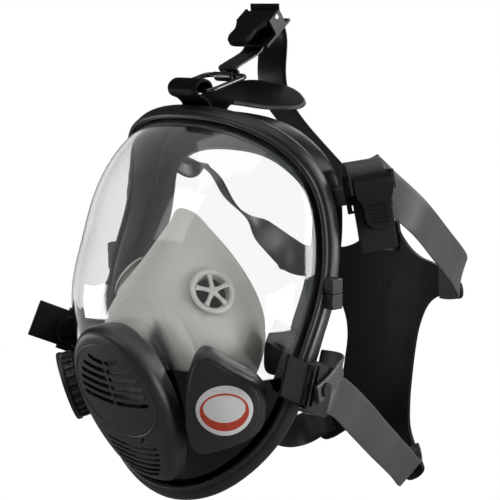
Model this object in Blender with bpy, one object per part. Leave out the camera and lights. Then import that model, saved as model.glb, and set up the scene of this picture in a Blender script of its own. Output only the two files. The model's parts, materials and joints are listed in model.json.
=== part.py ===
# Full face respirator: panoramic lens, clamp frame, rubber face blank, inner half
# mask, speech and exhalation unit, two side ports and a five point head harness.
# Lengths are in millimetres in the tables below and turned to metres on the way out.
# +X is the wearer's left, -Y is forward, +Z is up.  The origin is the middle of the
# face seal plane.
import bpy
import bmesh
import math
import numpy as np
from mathutils import Vector, Matrix

MM = 0.001
GAP = 0.3

# ---- lens ---------------------------------------------------------------
LENS_T = 2.5
LENS_FRONT_Y = -111.8
LENS_POLE_Z = 2.6
LENS_N = (2.92, 1.9, 1.9)        # roundness at side, top, chin
LENS_K = (1.037, 1.074, 1.187)   # how far short of the widest point it stops
LENS_EDGE = 5.0                  # straight edge held in the groove
RIM = [(0, -52, 108), (30, -49.8, 105.6), (52, -43.8, 98.5), (68, -33.5, 85),
       (77, -25.2, 66), (81.6, -23.8, 45), (85.4, -28, 24), (87, -36.8, 0),
       (85.5, -45.5, -20), (82, -52.5, -42), (74, -60, -67), (56, -68, -91),
       (31, -74, -108.5), (0, -76.5, -115.5)]
RIM_STEPS = 56
LENS_RINGS = 7

# ---- clamp frame and face blank, sections in (along lens, off lens) ------
FRAME_SEC = [(-1.5, 2.1), (-1.5, 4.0), (0.2, 5.0), (9.3, 5.0), (10.6, 3.8),
             (10.6, -3.0), (7.6, -3.0), (7.6, 2.1)]
FRAME_SPLIT_Z = 10.0
FRAME_SPLIT_GAP = 0.5
BLANK_GROOVE = [(-0.8, 0.3), (5.3, 0.3), (5.3, -2.8), (-3.0, -2.8), (-3.7, -3.6),
                (-3.0, -4.6), (6.0, -5.4)]
SEAL_Y = [(-130, -40), (-65, -38), (-20, -27), (20, -13), (45, -3.5), (75, 0.0),
          (100, -6), (115, -8)]
SEAL_OUT = 3.0
SKIRT_T = 2.2
FLANGE_W = 24.0
BOSS_U, BOSS_V, BOSS_L = 8.0, 8.4, 9.0
SCREW_R = 1.25
HEAD_R = 2.1

# ---- half mask ----------------------------------------------------------
HM_REAR = [(0, -57, 55), (12, -53, 46), (25, -46, 31), (37, -40, 13), (45, -36, -6),
           (47, -36, -27), (42, -41, -49), (27, -48, -69), (0, -52, -78)]
HM_FRONT = (0, -57, 33.8, 48.0)    # x, z, half width, half height at the lens
HM_T = 1.8
HM_STEPS, HM_RINGS = 36, 7
VALVE_AT = (26, -64, 2)
VALVE_R = 13.0

# ---- front unit ---------------------------------------------------------
FRONT_Z = -42.0
FRONT_AXIS = (0, -0.97, -0.243)
FRONT_HOLE_R = 25.6
EXH_Z = -87.0
EXH_HOLE_R = 11.6
COVER_C = (0, -58.0)
COVER_TOP, COVER_BOTTOM, COVER_HALF = 50.0, 53.0, 38.5
COVER_T = 2.0
PLATE = (-127.0, -20.0, 0.2514, 0.00191, 0.0025)   # y, z, slope, bend down, bend across
UPPER_SLOTS = [(-33.0, 12.6), (-38.2, 18.0), (-43.5, 20.5), (-48.8, 22.6), (-54.2, 24.0)]
LOWER_SLOTS = [(-86.0, 22.0), (-90.0, 21.4), (-94.0, 20.4), (-98.0, 18.4), (-101.8, 16.0),
               (-105.4, 13.0)]

# ---- side ports ---------------------------------------------------------
PORT_XZ = (60.0, -59.0)
PORT_HOLE_R = 17.0
POD_H = 11.0
POD = [(57.5, -14.5), (67, -22), (74.5, -31.5), (76.6, -42), (75.2, -54), (71, -65.5),
       (62, -73), (50, -78.5), (40.5, -79.8), (38.4, -72), (40.4, -56), (44.0, -42),
       (50, -24)]
BADGE_R = 16.5

# ---- harness ------------------------------------------------------------
STRAP_W, STRAP_T = 24.0, 1.5
PAD_Y, PAD_BEND, PAD_T = 150.0, 0.0035, 3.0
PAD = [(0, 24), (10, 23), (13, 15), (22, 6), (33, 0.5), (46, -1.5), (60, -4), (79, -10),
       (80, -20), (64, -21), (50, -26), (40, -35), (33, -50), (30, -66), (29.5, -85),
       (30, -104), (33, -122), (42, -135), (51, -145), (37, -158), (23, -146), (12, -135),
       (0, -131)]


TONGUE_X, TONGUE_W = -2.5, 24.0
RING_R, RING_HALF = 1.6, 17.0
LUG_W, LUG_T = 11.0, 2.2


def nv(v):
    v = np.asarray(v, float)
    return v / np.linalg.norm(v)


# ------------------------------------------------------------------ curves
def closed_spline(points, steps):
    """Even points on a smooth closed curve through the given ones."""
    P = np.array(points, float)
    n = len(P)
    h = np.linalg.norm(np.roll(P, -1, 0) - P, axis=1) ** 0.8
    t = np.concatenate([[0], np.cumsum(h)])
    A = np.zeros((n, n))
    B = np.zeros((n, P.shape[1]))
    for i in range(n):
        hm, hp = h[i - 1], h[i]
        A[i, (i - 1) % n] += hm
        A[i, i] += 2 * (hm + hp)
        A[i, (i + 1) % n] += hp
        B[i] = 6 * ((P[(i + 1) % n] - P[i]) / hp - (P[i] - P[i - 1]) / hm)
    M = np.linalg.solve(A, B)

    def ev(u):
        u = np.asarray(u) % 1 * t[-1]
        i = np.clip(np.searchsorted(t, u, side='right') - 1, 0, n - 1)
        j = (i + 1) % n
        H = h[i][:, None]
        a = (t[i + 1] - u)[:, None]
        b = (u - t[i])[:, None]
        return (M[i] * a ** 3 / (6 * H) + M[j] * b ** 3 / (6 * H)
                + (P[i] / H - M[i] * H / 6) * a + (P[j] / H - M[j] * H / 6) * b)

    s = np.linspace(0, 1, 4001)
    Q = ev(s[:-1])
    Q = np.vstack([Q, Q[:1]])
    L = np.concatenate([[0], np.cumsum(np.linalg.norm(np.diff(Q, axis=0), axis=1))])
    return ev(np.interp(np.linspace(0, L[-1], steps + 1)[:-1], L, s))


def mirrored(half):
    return list(half) + [tuple([-p[0]] + list(p[1:])) for p in half[1:-1]][::-1]


def open_spline(points, steps):
    """Catmull-Rom run through the points, evenly spaced."""
    P = np.array(points, float)
    P = np.vstack([2 * P[0] - P[1], P, 2 * P[-1] - P[-2]])
    out = []
    for i in range(1, len(P) - 2):
        for t in np.linspace(0, 1, 24, endpoint=False):
            a, b, c, d = P[i - 1:i + 3]
            out.append(0.5 * (2 * b + (c - a) * t + (2 * a - 5 * b + 4 * c - d) * t * t
                              + (3 * b - a - 3 * c + d) * t ** 3))
    out.append(P[-2])
    out = np.array(out)
    L = np.concatenate([[0], np.cumsum(np.linalg.norm(np.diff(out[:, :3], axis=0), axis=1))])
    s = np.linspace(0, L[-1], steps)
    return np.stack([np.interp(s, L, out[:, k]) for k in range(out.shape[1])], 1)


# ------------------------------------------------------------------- lens
RIM_FINE = closed_spline(mirrored(RIM), 720)
_d = RIM_FINE[:, [0, 2]] - np.array([0, LENS_POLE_Z])
_ang = np.arctan2(_d[:, 1], _d[:, 0])
_o = np.argsort(_ang)
RIM_ANG, RIM_RAD, RIM_YY = _ang[_o], np.hypot(_d[:, 0], _d[:, 1])[_o], RIM_FINE[_o, 1]


def lens_nk(x, z):
    a = np.arctan2(z - LENS_POLE_Z, np.abs(x))
    wt = np.clip(np.sin(a), 0, 1) ** 2
    wb = np.clip(-np.sin(a), 0, 1) ** 2
    ws = 1 - wt - wb
    return (LENS_N[0] * ws + LENS_N[1] * wt + LENS_N[2] * wb,
            LENS_K[0] * ws + LENS_K[1] * wt + LENS_K[2] * wb)


def lens_rise(s, n, k):
    return 1 - (1 - np.clip(s / k, 0, 1) ** n) ** (1 / n)


def lens_y(x, z):
    """Height of the outer lens surface (its Y) over a point of the XZ plane."""
    x = np.asarray(x, float)
    z = np.asarray(z, float)
    a = np.arctan2(z - LENS_POLE_Z, x)
    rr = np.interp(a, RIM_ANG, RIM_RAD, period=2 * np.pi)
    ry = np.interp(a, RIM_ANG, RIM_YY, period=2 * np.pi)
    n, k = lens_nk(x, z)
    s = np.hypot(x, z - LENS_POLE_Z) / rr
    return LENS_FRONT_Y + lens_rise(s, n, k) / lens_rise(1.0, n, k) * (ry - LENS_FRONT_Y)


def lens_point(x, z):
    return np.array([x, float(lens_y(x, z)), z])


def lens_normal(x, z, e=0.4):
    gx = float(lens_y(x + e, z) - lens_y(x - e, z)) / (2 * e)
    gz = float(lens_y(x, z + e) - lens_y(x, z - e)) / (2 * e)
    return nv((gx, -1, gz))


def rim_frames(steps):
    """Rim points with the direction out along the lens and the one off its face."""
    R = closed_spline(mirrored(RIM), steps)
    T = np.roll(R, -1, 0) - np.roll(R, 1, 0)
    T /= np.linalg.norm(T, axis=1)[:, None]
    n, k = lens_nk(R[:, 0], R[:, 2])
    q = (1 / k) ** n
    slope = (1 - q) ** (1 / n - 1) * (1 / k) ** (n - 1) / k / lens_rise(1.0, n, k)
    D = np.stack([R[:, 0], slope * (R[:, 1] - LENS_FRONT_Y), R[:, 2] - LENS_POLE_Z], 1)
    D -= (D * T).sum(1)[:, None] * T
    U = D / np.linalg.norm(D, axis=1)[:, None]
    N = np.cross(U, T)
    N /= np.linalg.norm(N, axis=1)[:, None]
    flip = (N * (R - np.array([0, 10, 0]))).sum(1) < 0
    N[flip] *= -1
    return R, U, N


# ---------------------------------------------------------------- building
def material(name, colour, rough, metal=0.0, alpha=1.0, transmission=0.0, spec=0.5):
    m = bpy.data.materials.new(name)
    m.use_nodes = True
    b = m.node_tree.nodes['Principled BSDF']
    b.inputs['Base Color'].default_value = (*colour, 1)
    b.inputs['Roughness'].default_value = rough
    b.inputs['Metallic'].default_value = metal
    b.inputs['Alpha'].default_value = alpha
    b.inputs['Transmission Weight'].default_value = transmission
    b.inputs['Specular IOR Level'].default_value = spec
    return m


def new_object(name, verts, faces, mat, smooth=35, origin=None):
    o = np.zeros(3) if origin is None else np.asarray(origin, float)
    me = bpy.data.meshes.new(name)
    me.from_pydata([tuple((np.asarray(v, float) - o) * MM) for v in verts], [], faces)
    bm = bmesh.new()
    bm.from_mesh(me)
    bmesh.ops.remove_doubles(bm, verts=bm.verts, dist=0.00001)
    bmesh.ops.recalc_face_normals(bm, faces=bm.faces)
    bm.to_mesh(me)
    bm.free()
    ob = bpy.data.objects.new(name, me)
    bpy.context.scene.collection.objects.link(ob)
    ob.location = tuple(o * MM)
    if mat is not None:
        me.materials.append(mat)
    shade(ob, smooth)
    return ob


def shade(ob, angle):
    if not angle:
        return
    me = ob.data
    bm = bmesh.new()
    bm.from_mesh(me)
    lim = math.radians(angle)
    for f in bm.faces:
        f.smooth = True
    for e in bm.edges:
        e.smooth = not (len(e.link_faces) == 2 and e.calc_face_angle(0) > lim)
    bm.to_mesh(me)
    bm.free()


def boolean(ob, cutters, op='DIFFERENCE', smooth=35):
    """Runs the cutters on the body and takes them away again."""
    for c in cutters:
        c.hide_render = True
        c.display_type = 'WIRE'
        m = ob.modifiers.new('cut', 'BOOLEAN')
        m.operation = op
        m.solver = 'EXACT'
        m.object = c
    bpy.context.view_layer.update()
    dg = bpy.context.evaluated_depsgraph_get()
    me = bpy.data.meshes.new_from_object(ob.evaluated_get(dg))
    me.name = ob.name
    old = ob.data
    mats = [m for m in old.materials]
    ob.modifiers.clear()
    ob.data = me
    if len(me.materials) > 1 or not len(me.materials):
        me.materials.clear()
        for m in mats[:1]:
            me.materials.append(m)
    for p in me.polygons:
        p.material_index = 0
    for c in cutters:
        bpy.data.objects.remove(c, do_unlink=True)
    bm = bmesh.new()
    bm.from_mesh(me)
    bmesh.ops.remove_doubles(bm, verts=bm.verts, dist=0.000005)
    bmesh.ops.dissolve_degenerate(bm, edges=bm.edges, dist=0.000005)
    bm.to_mesh(me)
    bm.free()
    shade(ob, smooth)
    return ob


def grid_faces(rows, cols, close_rows, close_cols, base=0):
    f = []
    for i in range(rows if close_rows else rows - 1):
        for j in range(cols if close_cols else cols - 1):
            a = base + i * cols + j
            b = base + i * cols + (j + 1) % cols
            c = base + (i + 1) % rows * cols + (j + 1) % cols
            d = base + (i + 1) % rows * cols + j
            f.append((a, b, c, d))
    return f


def swept(name, sections, closed, mat, smooth=35, origin=None):
    """sections: rows x points x 3, every row a closed outline."""
    S = np.asarray(sections, float)
    n, m, _ = S.shape
    faces = grid_faces(n, m, closed, True)
    if not closed:
        faces.append(tuple(range(m)))
        faces.append(tuple(n * m - 1 - j for j in range(m)))
    return new_object(name, S.reshape(-1, 3), faces, mat, smooth, origin)


def basis(axis, up=(0, 0, 1)):
    a = nv(axis)
    e1 = np.cross(up, a)
    if np.linalg.norm(e1) < 1e-6:
        e1 = np.cross((1, 0, 0), a)
    e1 = nv(e1)
    return e1, np.cross(a, e1), a


def lathe(name, profile, centre, axis, mat, steps=32, smooth=35, origin=None):
    """profile: closed outline of (along axis, radius), none on the axis itself."""
    e1, e2, a = basis(axis)
    c = np.asarray(centre, float)
    rows = []
    for i in range(steps):
        t = 2 * math.pi * i / steps
        d = math.cos(t) * e1 + math.sin(t) * e2
        rows.append([c + w * a + r * d for w, r in profile])
    return swept(name, rows, True, mat, smooth, origin)


def disc(name, w0, w1, r, centre, axis, mat, steps=32, smooth=35, origin=None, bevel=0.0):
    e1, e2, a = basis(axis)
    c = np.asarray(centre, float)
    ws = [(w0, r), (w1, r)] if not bevel else [(w0, r - bevel), (w0 + bevel, r),
                                               (w1 - bevel, r), (w1, r - bevel)]
    rows = []
    for w, q in ws:
        rows.append([c + w * a + q * (math.cos(2 * math.pi * i / steps) * e1
                                      + math.sin(2 * math.pi * i / steps) * e2)
                     for i in range(steps)])
    return swept(name, rows, False, mat, smooth, origin)


def prism(name, outline, origin3, e1, e2, a, h0, h1, mat, smooth=35, bevel=0.0, origin=None):
    """outline of (e1, e2) pairs pushed from h0 to h1 along a; bevel draws the ends in."""
    P = np.asarray(outline, float)
    c = P.mean(0)
    o = np.asarray(origin3, float)
    e1, e2, a = (np.asarray(v, float) for v in (e1, e2, a))

    def row(h, inset):
        d = P - c
        L = np.linalg.norm(d, axis=1)[:, None]
        Q = c + d * (1 - inset / np.maximum(L, 1e-6))
        return [o + q[0] * e1 + q[1] * e2 + h * a for q in Q]
    if bevel:
        rows = [row(h0, bevel), row(h0 + bevel, 0), row(h1 - bevel, 0), row(h1, bevel)]
    else:
        rows = [row(h0, 0), row(h1, 0)]
    return swept(name, rows, False, mat, smooth, origin)


def box_local(name, fr, l0, l1, w0, w1, h0, h1, mat, smooth=0, origin=None):
    o, L, W, H = fr
    rows = [[o + l * L + w * W + h * H for w, h in ((w0, h0), (w1, h0), (w1, h1), (w0, h1))]
            for l in (l0, l1)]
    return swept(name, rows, False, mat, smooth, origin)


# --------------------------------------------------------------- the pieces
def make_lens(mat, steps=RIM_STEPS, rings=LENS_RINGS):
    R, U, N = rim_frames(steps)
    n, k = lens_nk(R[:, 0], R[:, 2])
    s_list = np.sin(np.linspace(0, math.pi / 2, rings + 1))[1:]
    outer, inner = [], []
    for s in s_list:
        X = s * R[:, 0]
        Z = LENS_POLE_Z + s * (R[:, 2] - LENS_POLE_Z)
        Y = LENS_FRONT_Y + lens_rise(s, n, k) / lens_rise(1.0, n, k) * (R[:, 1] - LENS_FRONT_Y)
        P = np.stack([X, Y, Z], 1)
        if s > 0.9999:
            NN = N
        else:
            NN = np.array([lens_normal(x, z) for x, z in zip(X, Z)])
        outer.append(P)
        inner.append(P - LENS_T * NN)
    outer.append(R + LENS_EDGE * U)
    inner.append(R + LENS_EDGE * U - LENS_T * N)
    rows = outer + inner[::-1]
    V = np.vstack(rows)
    m = steps
    faces = grid_faces(len(rows), m, False, True)
    pole_o, pole_i = len(V), len(V) + 1
    V = np.vstack([V, [[0, LENS_FRONT_Y, LENS_POLE_Z]],
                   [[0, LENS_FRONT_Y + LENS_T, LENS_POLE_Z]]])
    last = (len(rows) - 1) * m
    for j in range(m):
        faces.append((pole_o, (j + 1) % m, j))
        faces.append((pole_i, last + j, last + (j + 1) % m))
    return new_object('lens', V, faces, mat, 40)


def cutter_cyl(centre, axis, r, w0, w1, steps=32):
    return disc('cutter', w0, w1, r, centre, axis, None, steps, 0)


def seal_y(z):
    zz = [p[0] for p in SEAL_Y]
    yy = [p[1] for p in SEAL_Y]
    # smooth step between the table's points
    z = np.clip(z, zz[0], zz[-1])
    i = np.clip(np.searchsorted(zz, z, side='right') - 1, 0, len(zz) - 2)
    P = np.array(SEAL_Y, float)
    m = np.gradient(P[:, 1], P[:, 0])
    h = P[i + 1, 0] - P[i, 0]
    t = (z - P[i, 0]) / h
    return ((2 * t ** 3 - 3 * t ** 2 + 1) * P[i, 1] + (t ** 3 - 2 * t ** 2 + t) * h * m[i]
            + (-2 * t ** 3 + 3 * t ** 2) * P[i + 1, 1] + (t ** 3 - t ** 2) * h * m[i + 1])


def seal_curve(R):
    d = np.stack([R[:, 0], np.zeros(len(R)), R[:, 2] + 3], 1)
    d /= np.linalg.norm(d, axis=1)[:, None]
    S = R + SEAL_OUT * d
    S[:, 1] = seal_y(R[:, 2])
    chin = np.clip((-R[:, 2] - 70) / 45, 0, 1)
    S[:, 2] -= 6 * chin ** 2
    return S, -d


def make_blank(mat, steps=RIM_STEPS):
    R, U, N = rim_frames(steps)
    S, D = seal_curve(R)
    Y = np.array([0, 1.0, 0])
    rows = []
    for i in range(steps):
        r, u, n, s, d = R[i], U[i], N[i], S[i], D[i]
        sec = [r + a * u + b * n for a, b in BLANK_GROOVE]
        q0 = r + 10.9 * u - 3.4 * n
        q1 = r + 10.9 * u - 5.8 * n
        sec.append(q1)
        sec.append(q1 * 0.5 + (s + SKIRT_T * d) * 0.5 + 0.6 * -d)
        sec.append(s + SKIRT_T * d - 4.0 * Y)
        sec.append(s + 6.0 * d - 2.4 * Y)
        sec.append(s + (FLANGE_W * 0.6) * d - 3.4 * Y)
        sec.append(s + FLANGE_W * d - 7.0 * Y)
        sec.append(s + (FLANGE_W + 0.8) * d - 6.4 * Y)
        sec.append(s + (FLANGE_W * 0.6) * d - 1.6 * Y)
        sec.append(s + 6.0 * d + 0.0 * Y)
        sec.append(s + 1.2 * d - 0.8 * Y)
        sec.append(s - 4.0 * Y)
        sec.append(q0 * 0.5 + s * 0.5 - 0.6 * d)
        sec.append(q0)
        sec += [r + 7.3 * u - 3.4 * n, r + 7.3 * u + 1.8 * n, r - 0.8 * u + 1.8 * n]
        rows.append(sec)
    return swept('face_blank', rows, True, mat, 40)


def make_frame(name, upper, mat, steps=RIM_STEPS):
    """One half of the clamp frame, from the parting plane round to the other side."""
    fine = 4 * steps
    R, U, N = rim_frames(fine)
    if upper:
        idx = [i for i in range(fine) if R[i, 2] > FRAME_SPLIT_Z]
        start = next(i for i in range(fine)
                     if R[i, 2] > FRAME_SPLIT_Z and R[i - 1, 2] <= FRAME_SPLIT_Z)
    else:
        idx = [i for i in range(fine) if R[i, 2] < FRAME_SPLIT_Z]
        start = next(i for i in range(fine)
                     if R[i, 2] < FRAME_SPLIT_Z and R[i - 1, 2] >= FRAME_SPLIT_Z)
    run = [(start + k) % fine for k in range(len(idx))]
    keep = run[::4]
    if keep[-1] != run[-1]:
        keep.append(run[-1])

    rows = []
    for q, i in enumerate(keep):
        sec = np.array([R[i] + a * U[i] + b * N[i] for a, b in FRAME_SEC])
        rows.append(sec)
    # the two end rows are laid on the parting plane
    zc = FRAME_SPLIT_Z + (FRAME_SPLIT_GAP / 2 if upper else -FRAME_SPLIT_GAP / 2)
    for e, nb in ((0, 1), (-1, -2)):
        d = rows[e] - rows[nb]
        t = (zc - rows[e][:, 2]) / np.where(np.abs(d[:, 2]) < 1e-6, 1e-6, d[:, 2])
        rows[e] = rows[e] + d * t[:, None]
    return swept(name, rows, False, mat, 40)


def boss_frame(side):
    """Place of the clamp screw on one side: origin, tangent up, out of the lens edge."""
    R, U, N = rim_frames(720)
    best = min(range(720), key=lambda i: abs(R[i, 2] - FRAME_SPLIT_Z)
               + (0 if R[i, 0] * side > 0 else 1000))
    r, u, n = R[best], U[best], N[best]
    z = np.array([0, 0, 1.0])
    n = nv(n - n.dot(z) * z)
    u = nv(np.cross(z, n))
    if u[1] < 0:
        u = -u
    o = r + 5.2 * u
    o[2] = FRAME_SPLIT_Z
    return o, u, n, z


def port_axis():
    return lens_normal(*PORT_XZ, 3.0)


def pod_outline(steps):
    P = closed_spline([(x, z) for x, z in POD], steps)
    return P


def pod_rows(steps, scale_heights, mirror=False):
    """Rows of the blanking cover: (scale about its middle, height off the lens)."""
    P = pod_outline(steps)
    c = P.mean(0)
    a = port_axis()
    rows = []
    for s, h in scale_heights:
        Q = c + (P - c) * s
        rows.append([lens_point(x, z) + h * a for x, z in Q])
    return rows


def capped(name, rows, mat, smooth=35, origin=None):
    """Rings from one pole to the other: both ends shut with a flat face."""
    return swept(name, rows, False, mat, smooth, origin)


def plate_y(x, z):
    d = PLATE[1] - z
    return PLATE[0] + PLATE[2] * d + PLATE[3] * np.maximum(d, 0) ** 2 + PLATE[4] * x * x


def cover_outline(steps, inset=0.0):
    out = []
    for i in range(steps):
        t = 2 * math.pi * i / steps
        c, s = math.cos(t), math.sin(t)
        if s >= 0:
            x = (COVER_HALF - inset) * np.sign(c) * abs(c) ** 0.95
            z = (COVER_TOP - inset) * s ** 0.95
        else:
            x = (COVER_HALF - inset) * np.sign(c) * abs(c) ** 0.62
            z = -(COVER_BOTTOM - inset) * abs(s) ** 1.05
        z += COVER_C[1]
        # the egg draws in towards the chin
        low = max(0.0, (-66 - z) / 40.0)
        x *= 1 - 0.12 * low ** 1.2
        out.append((x, z))
    return np.array(out)


def cover_surface(O, lam, lift, yinset):
    """Ring at part lam of the outline; lift 0 at the lens, 1 on the plate."""
    c = np.array(COVER_C)
    Q = c + (O - c) * lam
    B = c + (O - c) * 1.0
    base = np.array([lens_y(x, z) for x, z in B]) - 0.7
    top = plate_y(Q[:, 0], Q[:, 1]) + yinset
    top = np.minimum(top, base - 3.0 + yinset)
    y = base * (1 - lift) + top * lift
    return np.stack([Q[:, 0], y, Q[:, 1]], 1)


COVER_PROFILE = [(1.0, 0.0), (1.0, 0.42), (0.975, 0.74), (0.92, 0.93), (0.83, 1.0),
                 (0.5, 1.0), (0.2, 1.0)]


def make_cover(mat, steps=36):
    O = cover_outline(steps)
    I = cover_outline(steps, COVER_T)
    outer = [cover_surface(O, lam, lift, 0.0) for lam, lift in COVER_PROFILE]
    inner = [cover_surface(I, lam, lift, COVER_T) for lam, lift in COVER_PROFILE]
    rows = outer[::-1] + inner
    return capped('front_cover', rows, mat, 40)


def slot_cutter(z0, x0, x1, sag, half, tilt=0.0):
    """A curved bar standing through the plate; its middle hangs lower than its ends."""
    rows = []
    n = 5
    for i in range(n):
        t = i / (n - 1)
        x = x0 + (x1 - x0) * t
        m = max(abs(x0), abs(x1))
        z = z0 + sag * ((x / m) ** 2) + tilt * x
        y = plate_y(x, z)
        rows.append([(x, y - 6, z - half), (x, y - 6, z + half), (x, y + 5, z + half),
                     (x, y + 5, z - half)])
    return swept('cutter', rows, False, None, 0)


def cover_slots():
    out = []
    for z, w in UPPER_SLOTS:
        out.append(slot_cutter(z, -w, -1.0, 3.0, 1.25))
        out.append(slot_cutter(z, 1.0, w, 3.0, 1.25))
    for z, w in LOWER_SLOTS:
        out.append(slot_cutter(z, -w, w, 2.4, 0.95))
    return out


def half_mask_point(t, ph_rear, ph_front):
    a = ph_rear * (1 - t) + ph_front * t
    out = nv((a[0], 0.0, a[2] + 20))
    # the cheeks stay full, the bridge runs straight to the front
    side = abs(out[0])
    b = 9.0 * math.sin(math.pi * t) * (0.35 + 0.65 * side)
    return a + b * out


def half_mask_surface(steps, rings, inset=0.0):
    rear = closed_spline(mirrored(HM_REAR), steps)
    cx, cz, hx, hz = HM_FRONT
    # same angular places as the rear outline
    d = rear[:, [0, 2]] - np.array([0, -14.0])
    ang = np.arctan2(d[:, 1] / 66.0, d[:, 0] / 47.0)
    front = []
    for a in ang:
        x, z = cx + hx * math.cos(a), cz + hz * math.sin(a)
        n = lens_normal(x, z)
        front.append(lens_point(x, z) - (LENS_T + 0.9) * n)
    front = np.array(front)
    rows = []
    for j in range(rings + 1):
        t = j / rings
        rows.append([half_mask_point(t, rear[i], front[i]) for i in range(steps)])
    return np.array(rows)


def surface_normals(G, centre):
    """Normals of a grid closed along its second direction, pointing off centre."""
    du = np.gradient(G, axis=0)
    dv = (np.roll(G, -1, 1) - np.roll(G, 1, 1)) * 0.5
    n = np.cross(du, dv)
    n /= np.maximum(np.linalg.norm(n, axis=2), 1e-9)[:, :, None]
    flip = (n * (G - centre)).sum(2) < 0
    n[flip] *= -1
    return n


HM_CENTRE = np.array([0, -55.0, -25.0])


def make_half_mask(mat, steps=HM_STEPS, rings=HM_RINGS):
    G = half_mask_surface(steps, rings)
    n = surface_normals(G, HM_CENTRE)
    inner = G - HM_T * n
    rows = list(G) + list(inner[::-1])
    S = np.array(rows)
    faces = grid_faces(len(rows), steps, True, True)
    return new_object('half_mask', S.reshape(-1, 3), faces, mat, 50)


def valve_place(side):
    G = half_mask_surface(160, 60)
    n = surface_normals(G, HM_CENTRE)
    target = np.array(VALVE_AT, float) * np.array([side, 1, 1])
    d = np.linalg.norm(G - target, axis=2)
    i, j = np.unravel_index(np.argmin(d), d.shape)
    # mean normal over the seat
    near = np.linalg.norm(G - G[i, j], axis=2) < VALVE_R
    return G[i, j], nv(n[near].mean(0))


def strip(name, path, widths, side_dirs, thick, mat, smooth=35, origin=None):
    """A flat band: path points, half widths, width directions."""
    P = np.asarray(path, float)
    T = np.gradient(P, axis=0)
    rows = []
    for i in range(len(P)):
        w = nv(side_dirs[i] - np.dot(side_dirs[i], nv(T[i])) * nv(T[i]))
        n = np.cross(nv(T[i]), w)
        h, k = widths[i], thick / 2
        rows.append([P[i] - h * w - k * n, P[i] + h * w - k * n,
                     P[i] + h * w + k * n, P[i] - h * w + k * n])
    return swept(name, rows, False, mat, smooth, origin)


def band(name, knots, steps, width, thick, mat, smooth=35, origin=None):
    """knots: (point, width direction); both run smoothly along the band."""
    K = np.array([list(p) + list(nv(w)) for p, w in knots], float)
    Q = open_spline(K, steps)
    return strip(name, Q[:, :3], [width / 2] * steps, Q[:, 3:6], thick, mat, smooth, origin)


# buckle frames: origin at the strap's place under the cam, L towards the strap's run
# from the harness, H to the lever's side, W along the pin
def buckle_frame(origin, L, H):
    L = nv(L)
    H = np.asarray(H, float)
    H = nv(H - H.dot(L) * L)
    W = np.cross(L, H)
    return np.asarray(origin, float), L, W, H


def mirror_frame(fr):
    o, L, W, H = fr
    m = np.array([-1.0, 1, 1])
    return o * m, L * m, np.cross(L * m, H * m), H * m


TEMPLE = buckle_frame((94.5, 3.5, 69.5), (-0.204, -0.036, 0.978), (0.82, -0.55, 0.15))
LOWER = buckle_frame((104.6, -51.0, -42.0), (-0.10, 0.90, -0.42), (-0.98, -0.14, -0.02))
TOP = buckle_frame((0.0, 15.4, 160.0), (0.0, 0.793, 0.609), (0.0, -0.609, 0.793))
FRAMES = {'temple_right': TEMPLE, 'temple_left': mirror_frame(TEMPLE), 'lower_right': LOWER,
          'lower_left': mirror_frame(LOWER), 'top': TOP}

PIN_H = 8.2
PIN_R = 1.4
CAM_R = 3.6


def make_buckle(tag, fr, mat, mat_pin, mat_lever, lever_len=30.0):
    o, L, W, H = fr
    pin_c = o + PIN_H * H + 4.0 * L
    # body: base plate with a slot for the lug, two cheeks for the pin
    top = tag == 'top'
    body = box_local('buckle_body_' + tag, fr, -14.0, 13.0 if top else 9.0, -14.2, 14.2, -1.8, 0.0,
                     mat)
    cheeks = [box_local('c', fr, -3.0, 8.5, s * 14.2 - (1.7 if s > 0 else 0.0),
                        s * 14.2 + (0.0 if s > 0 else 1.7), -1.0, 10.6, mat) for s in (1, -1)]
    boolean(body, cheeks, 'UNION')
    cuts = [cutter_cyl(pin_c, W, PIN_R + GAP, -20, 20, 20)]
    if top:
        cuts.append(box_local('s', fr, 6.2, 9.8, -12.5, 12.5, -4.0, 3.0, None))
    else:
        cuts.append(box_local('s', fr, -12.4, -9.2, -11.6, 11.6, -4.0, 3.0, None))
    cuts.append(cutter_cyl(o - (7.0 if top else 3.0) * L, H, 2.7 + GAP, -8, 3, 16))
    boolean(body, cuts)
    pin = disc('buckle_pin_' + tag, -14.2, 14.2, PIN_R, pin_c, W, mat_pin, 16)
    # lever: cam round the pin and a thumb tab reaching back over the tail
    cam = disc('buckle_lever_' + tag, -12.1, 12.1, CAM_R, pin_c, W, mat_lever, 24, 35, pin_c)
    n = 12
    outline = [(0.0, -12.0), (-7.0, -12.0), (-12.0, -9.8), (-17.0, -8.2),
               (-lever_len + 9, -8.8)]
    for i in range(n + 1):
        t = math.pi * (-0.5 - i / n)
        outline.append((-lever_len + 9 + 9.0 * math.cos(t), 8.8 * math.sin(t)))
    outline += [(-17.0, 8.2), (-12.0, 9.8), (-7.0, 12.0), (0.0, 12.0)]
    seen = []
    for p in outline:
        if not seen or np.linalg.norm(np.array(p) - np.array(seen[-1])) > 0.05:
            seen.append(p)
    tab = prism('t', seen, pin_c, L, W, H, -0.3, 3.4, mat_lever, 35)
    boolean(cam, [tab], 'UNION')
    bore = cutter_cyl(pin_c, W, PIN_R + GAP, -20, 20, 20)
    boolean(cam, [bore])
    return pin_c


def pad_y(x):
    return PAD_Y - PAD_BEND * x * x


def pad_shift(x, z):
    """The slack pad hangs a little to one side below its middle."""
    t = min(max((-60 - z) / 60, 0), 1.6)
    return x - 7 * t, z - 0.14 * x * t


def pad_outline():
    full = PAD + [(-x, z) for x, z in PAD[::-1] if x > 0]
    return [pad_shift(x, z) for x, z in full]


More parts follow.
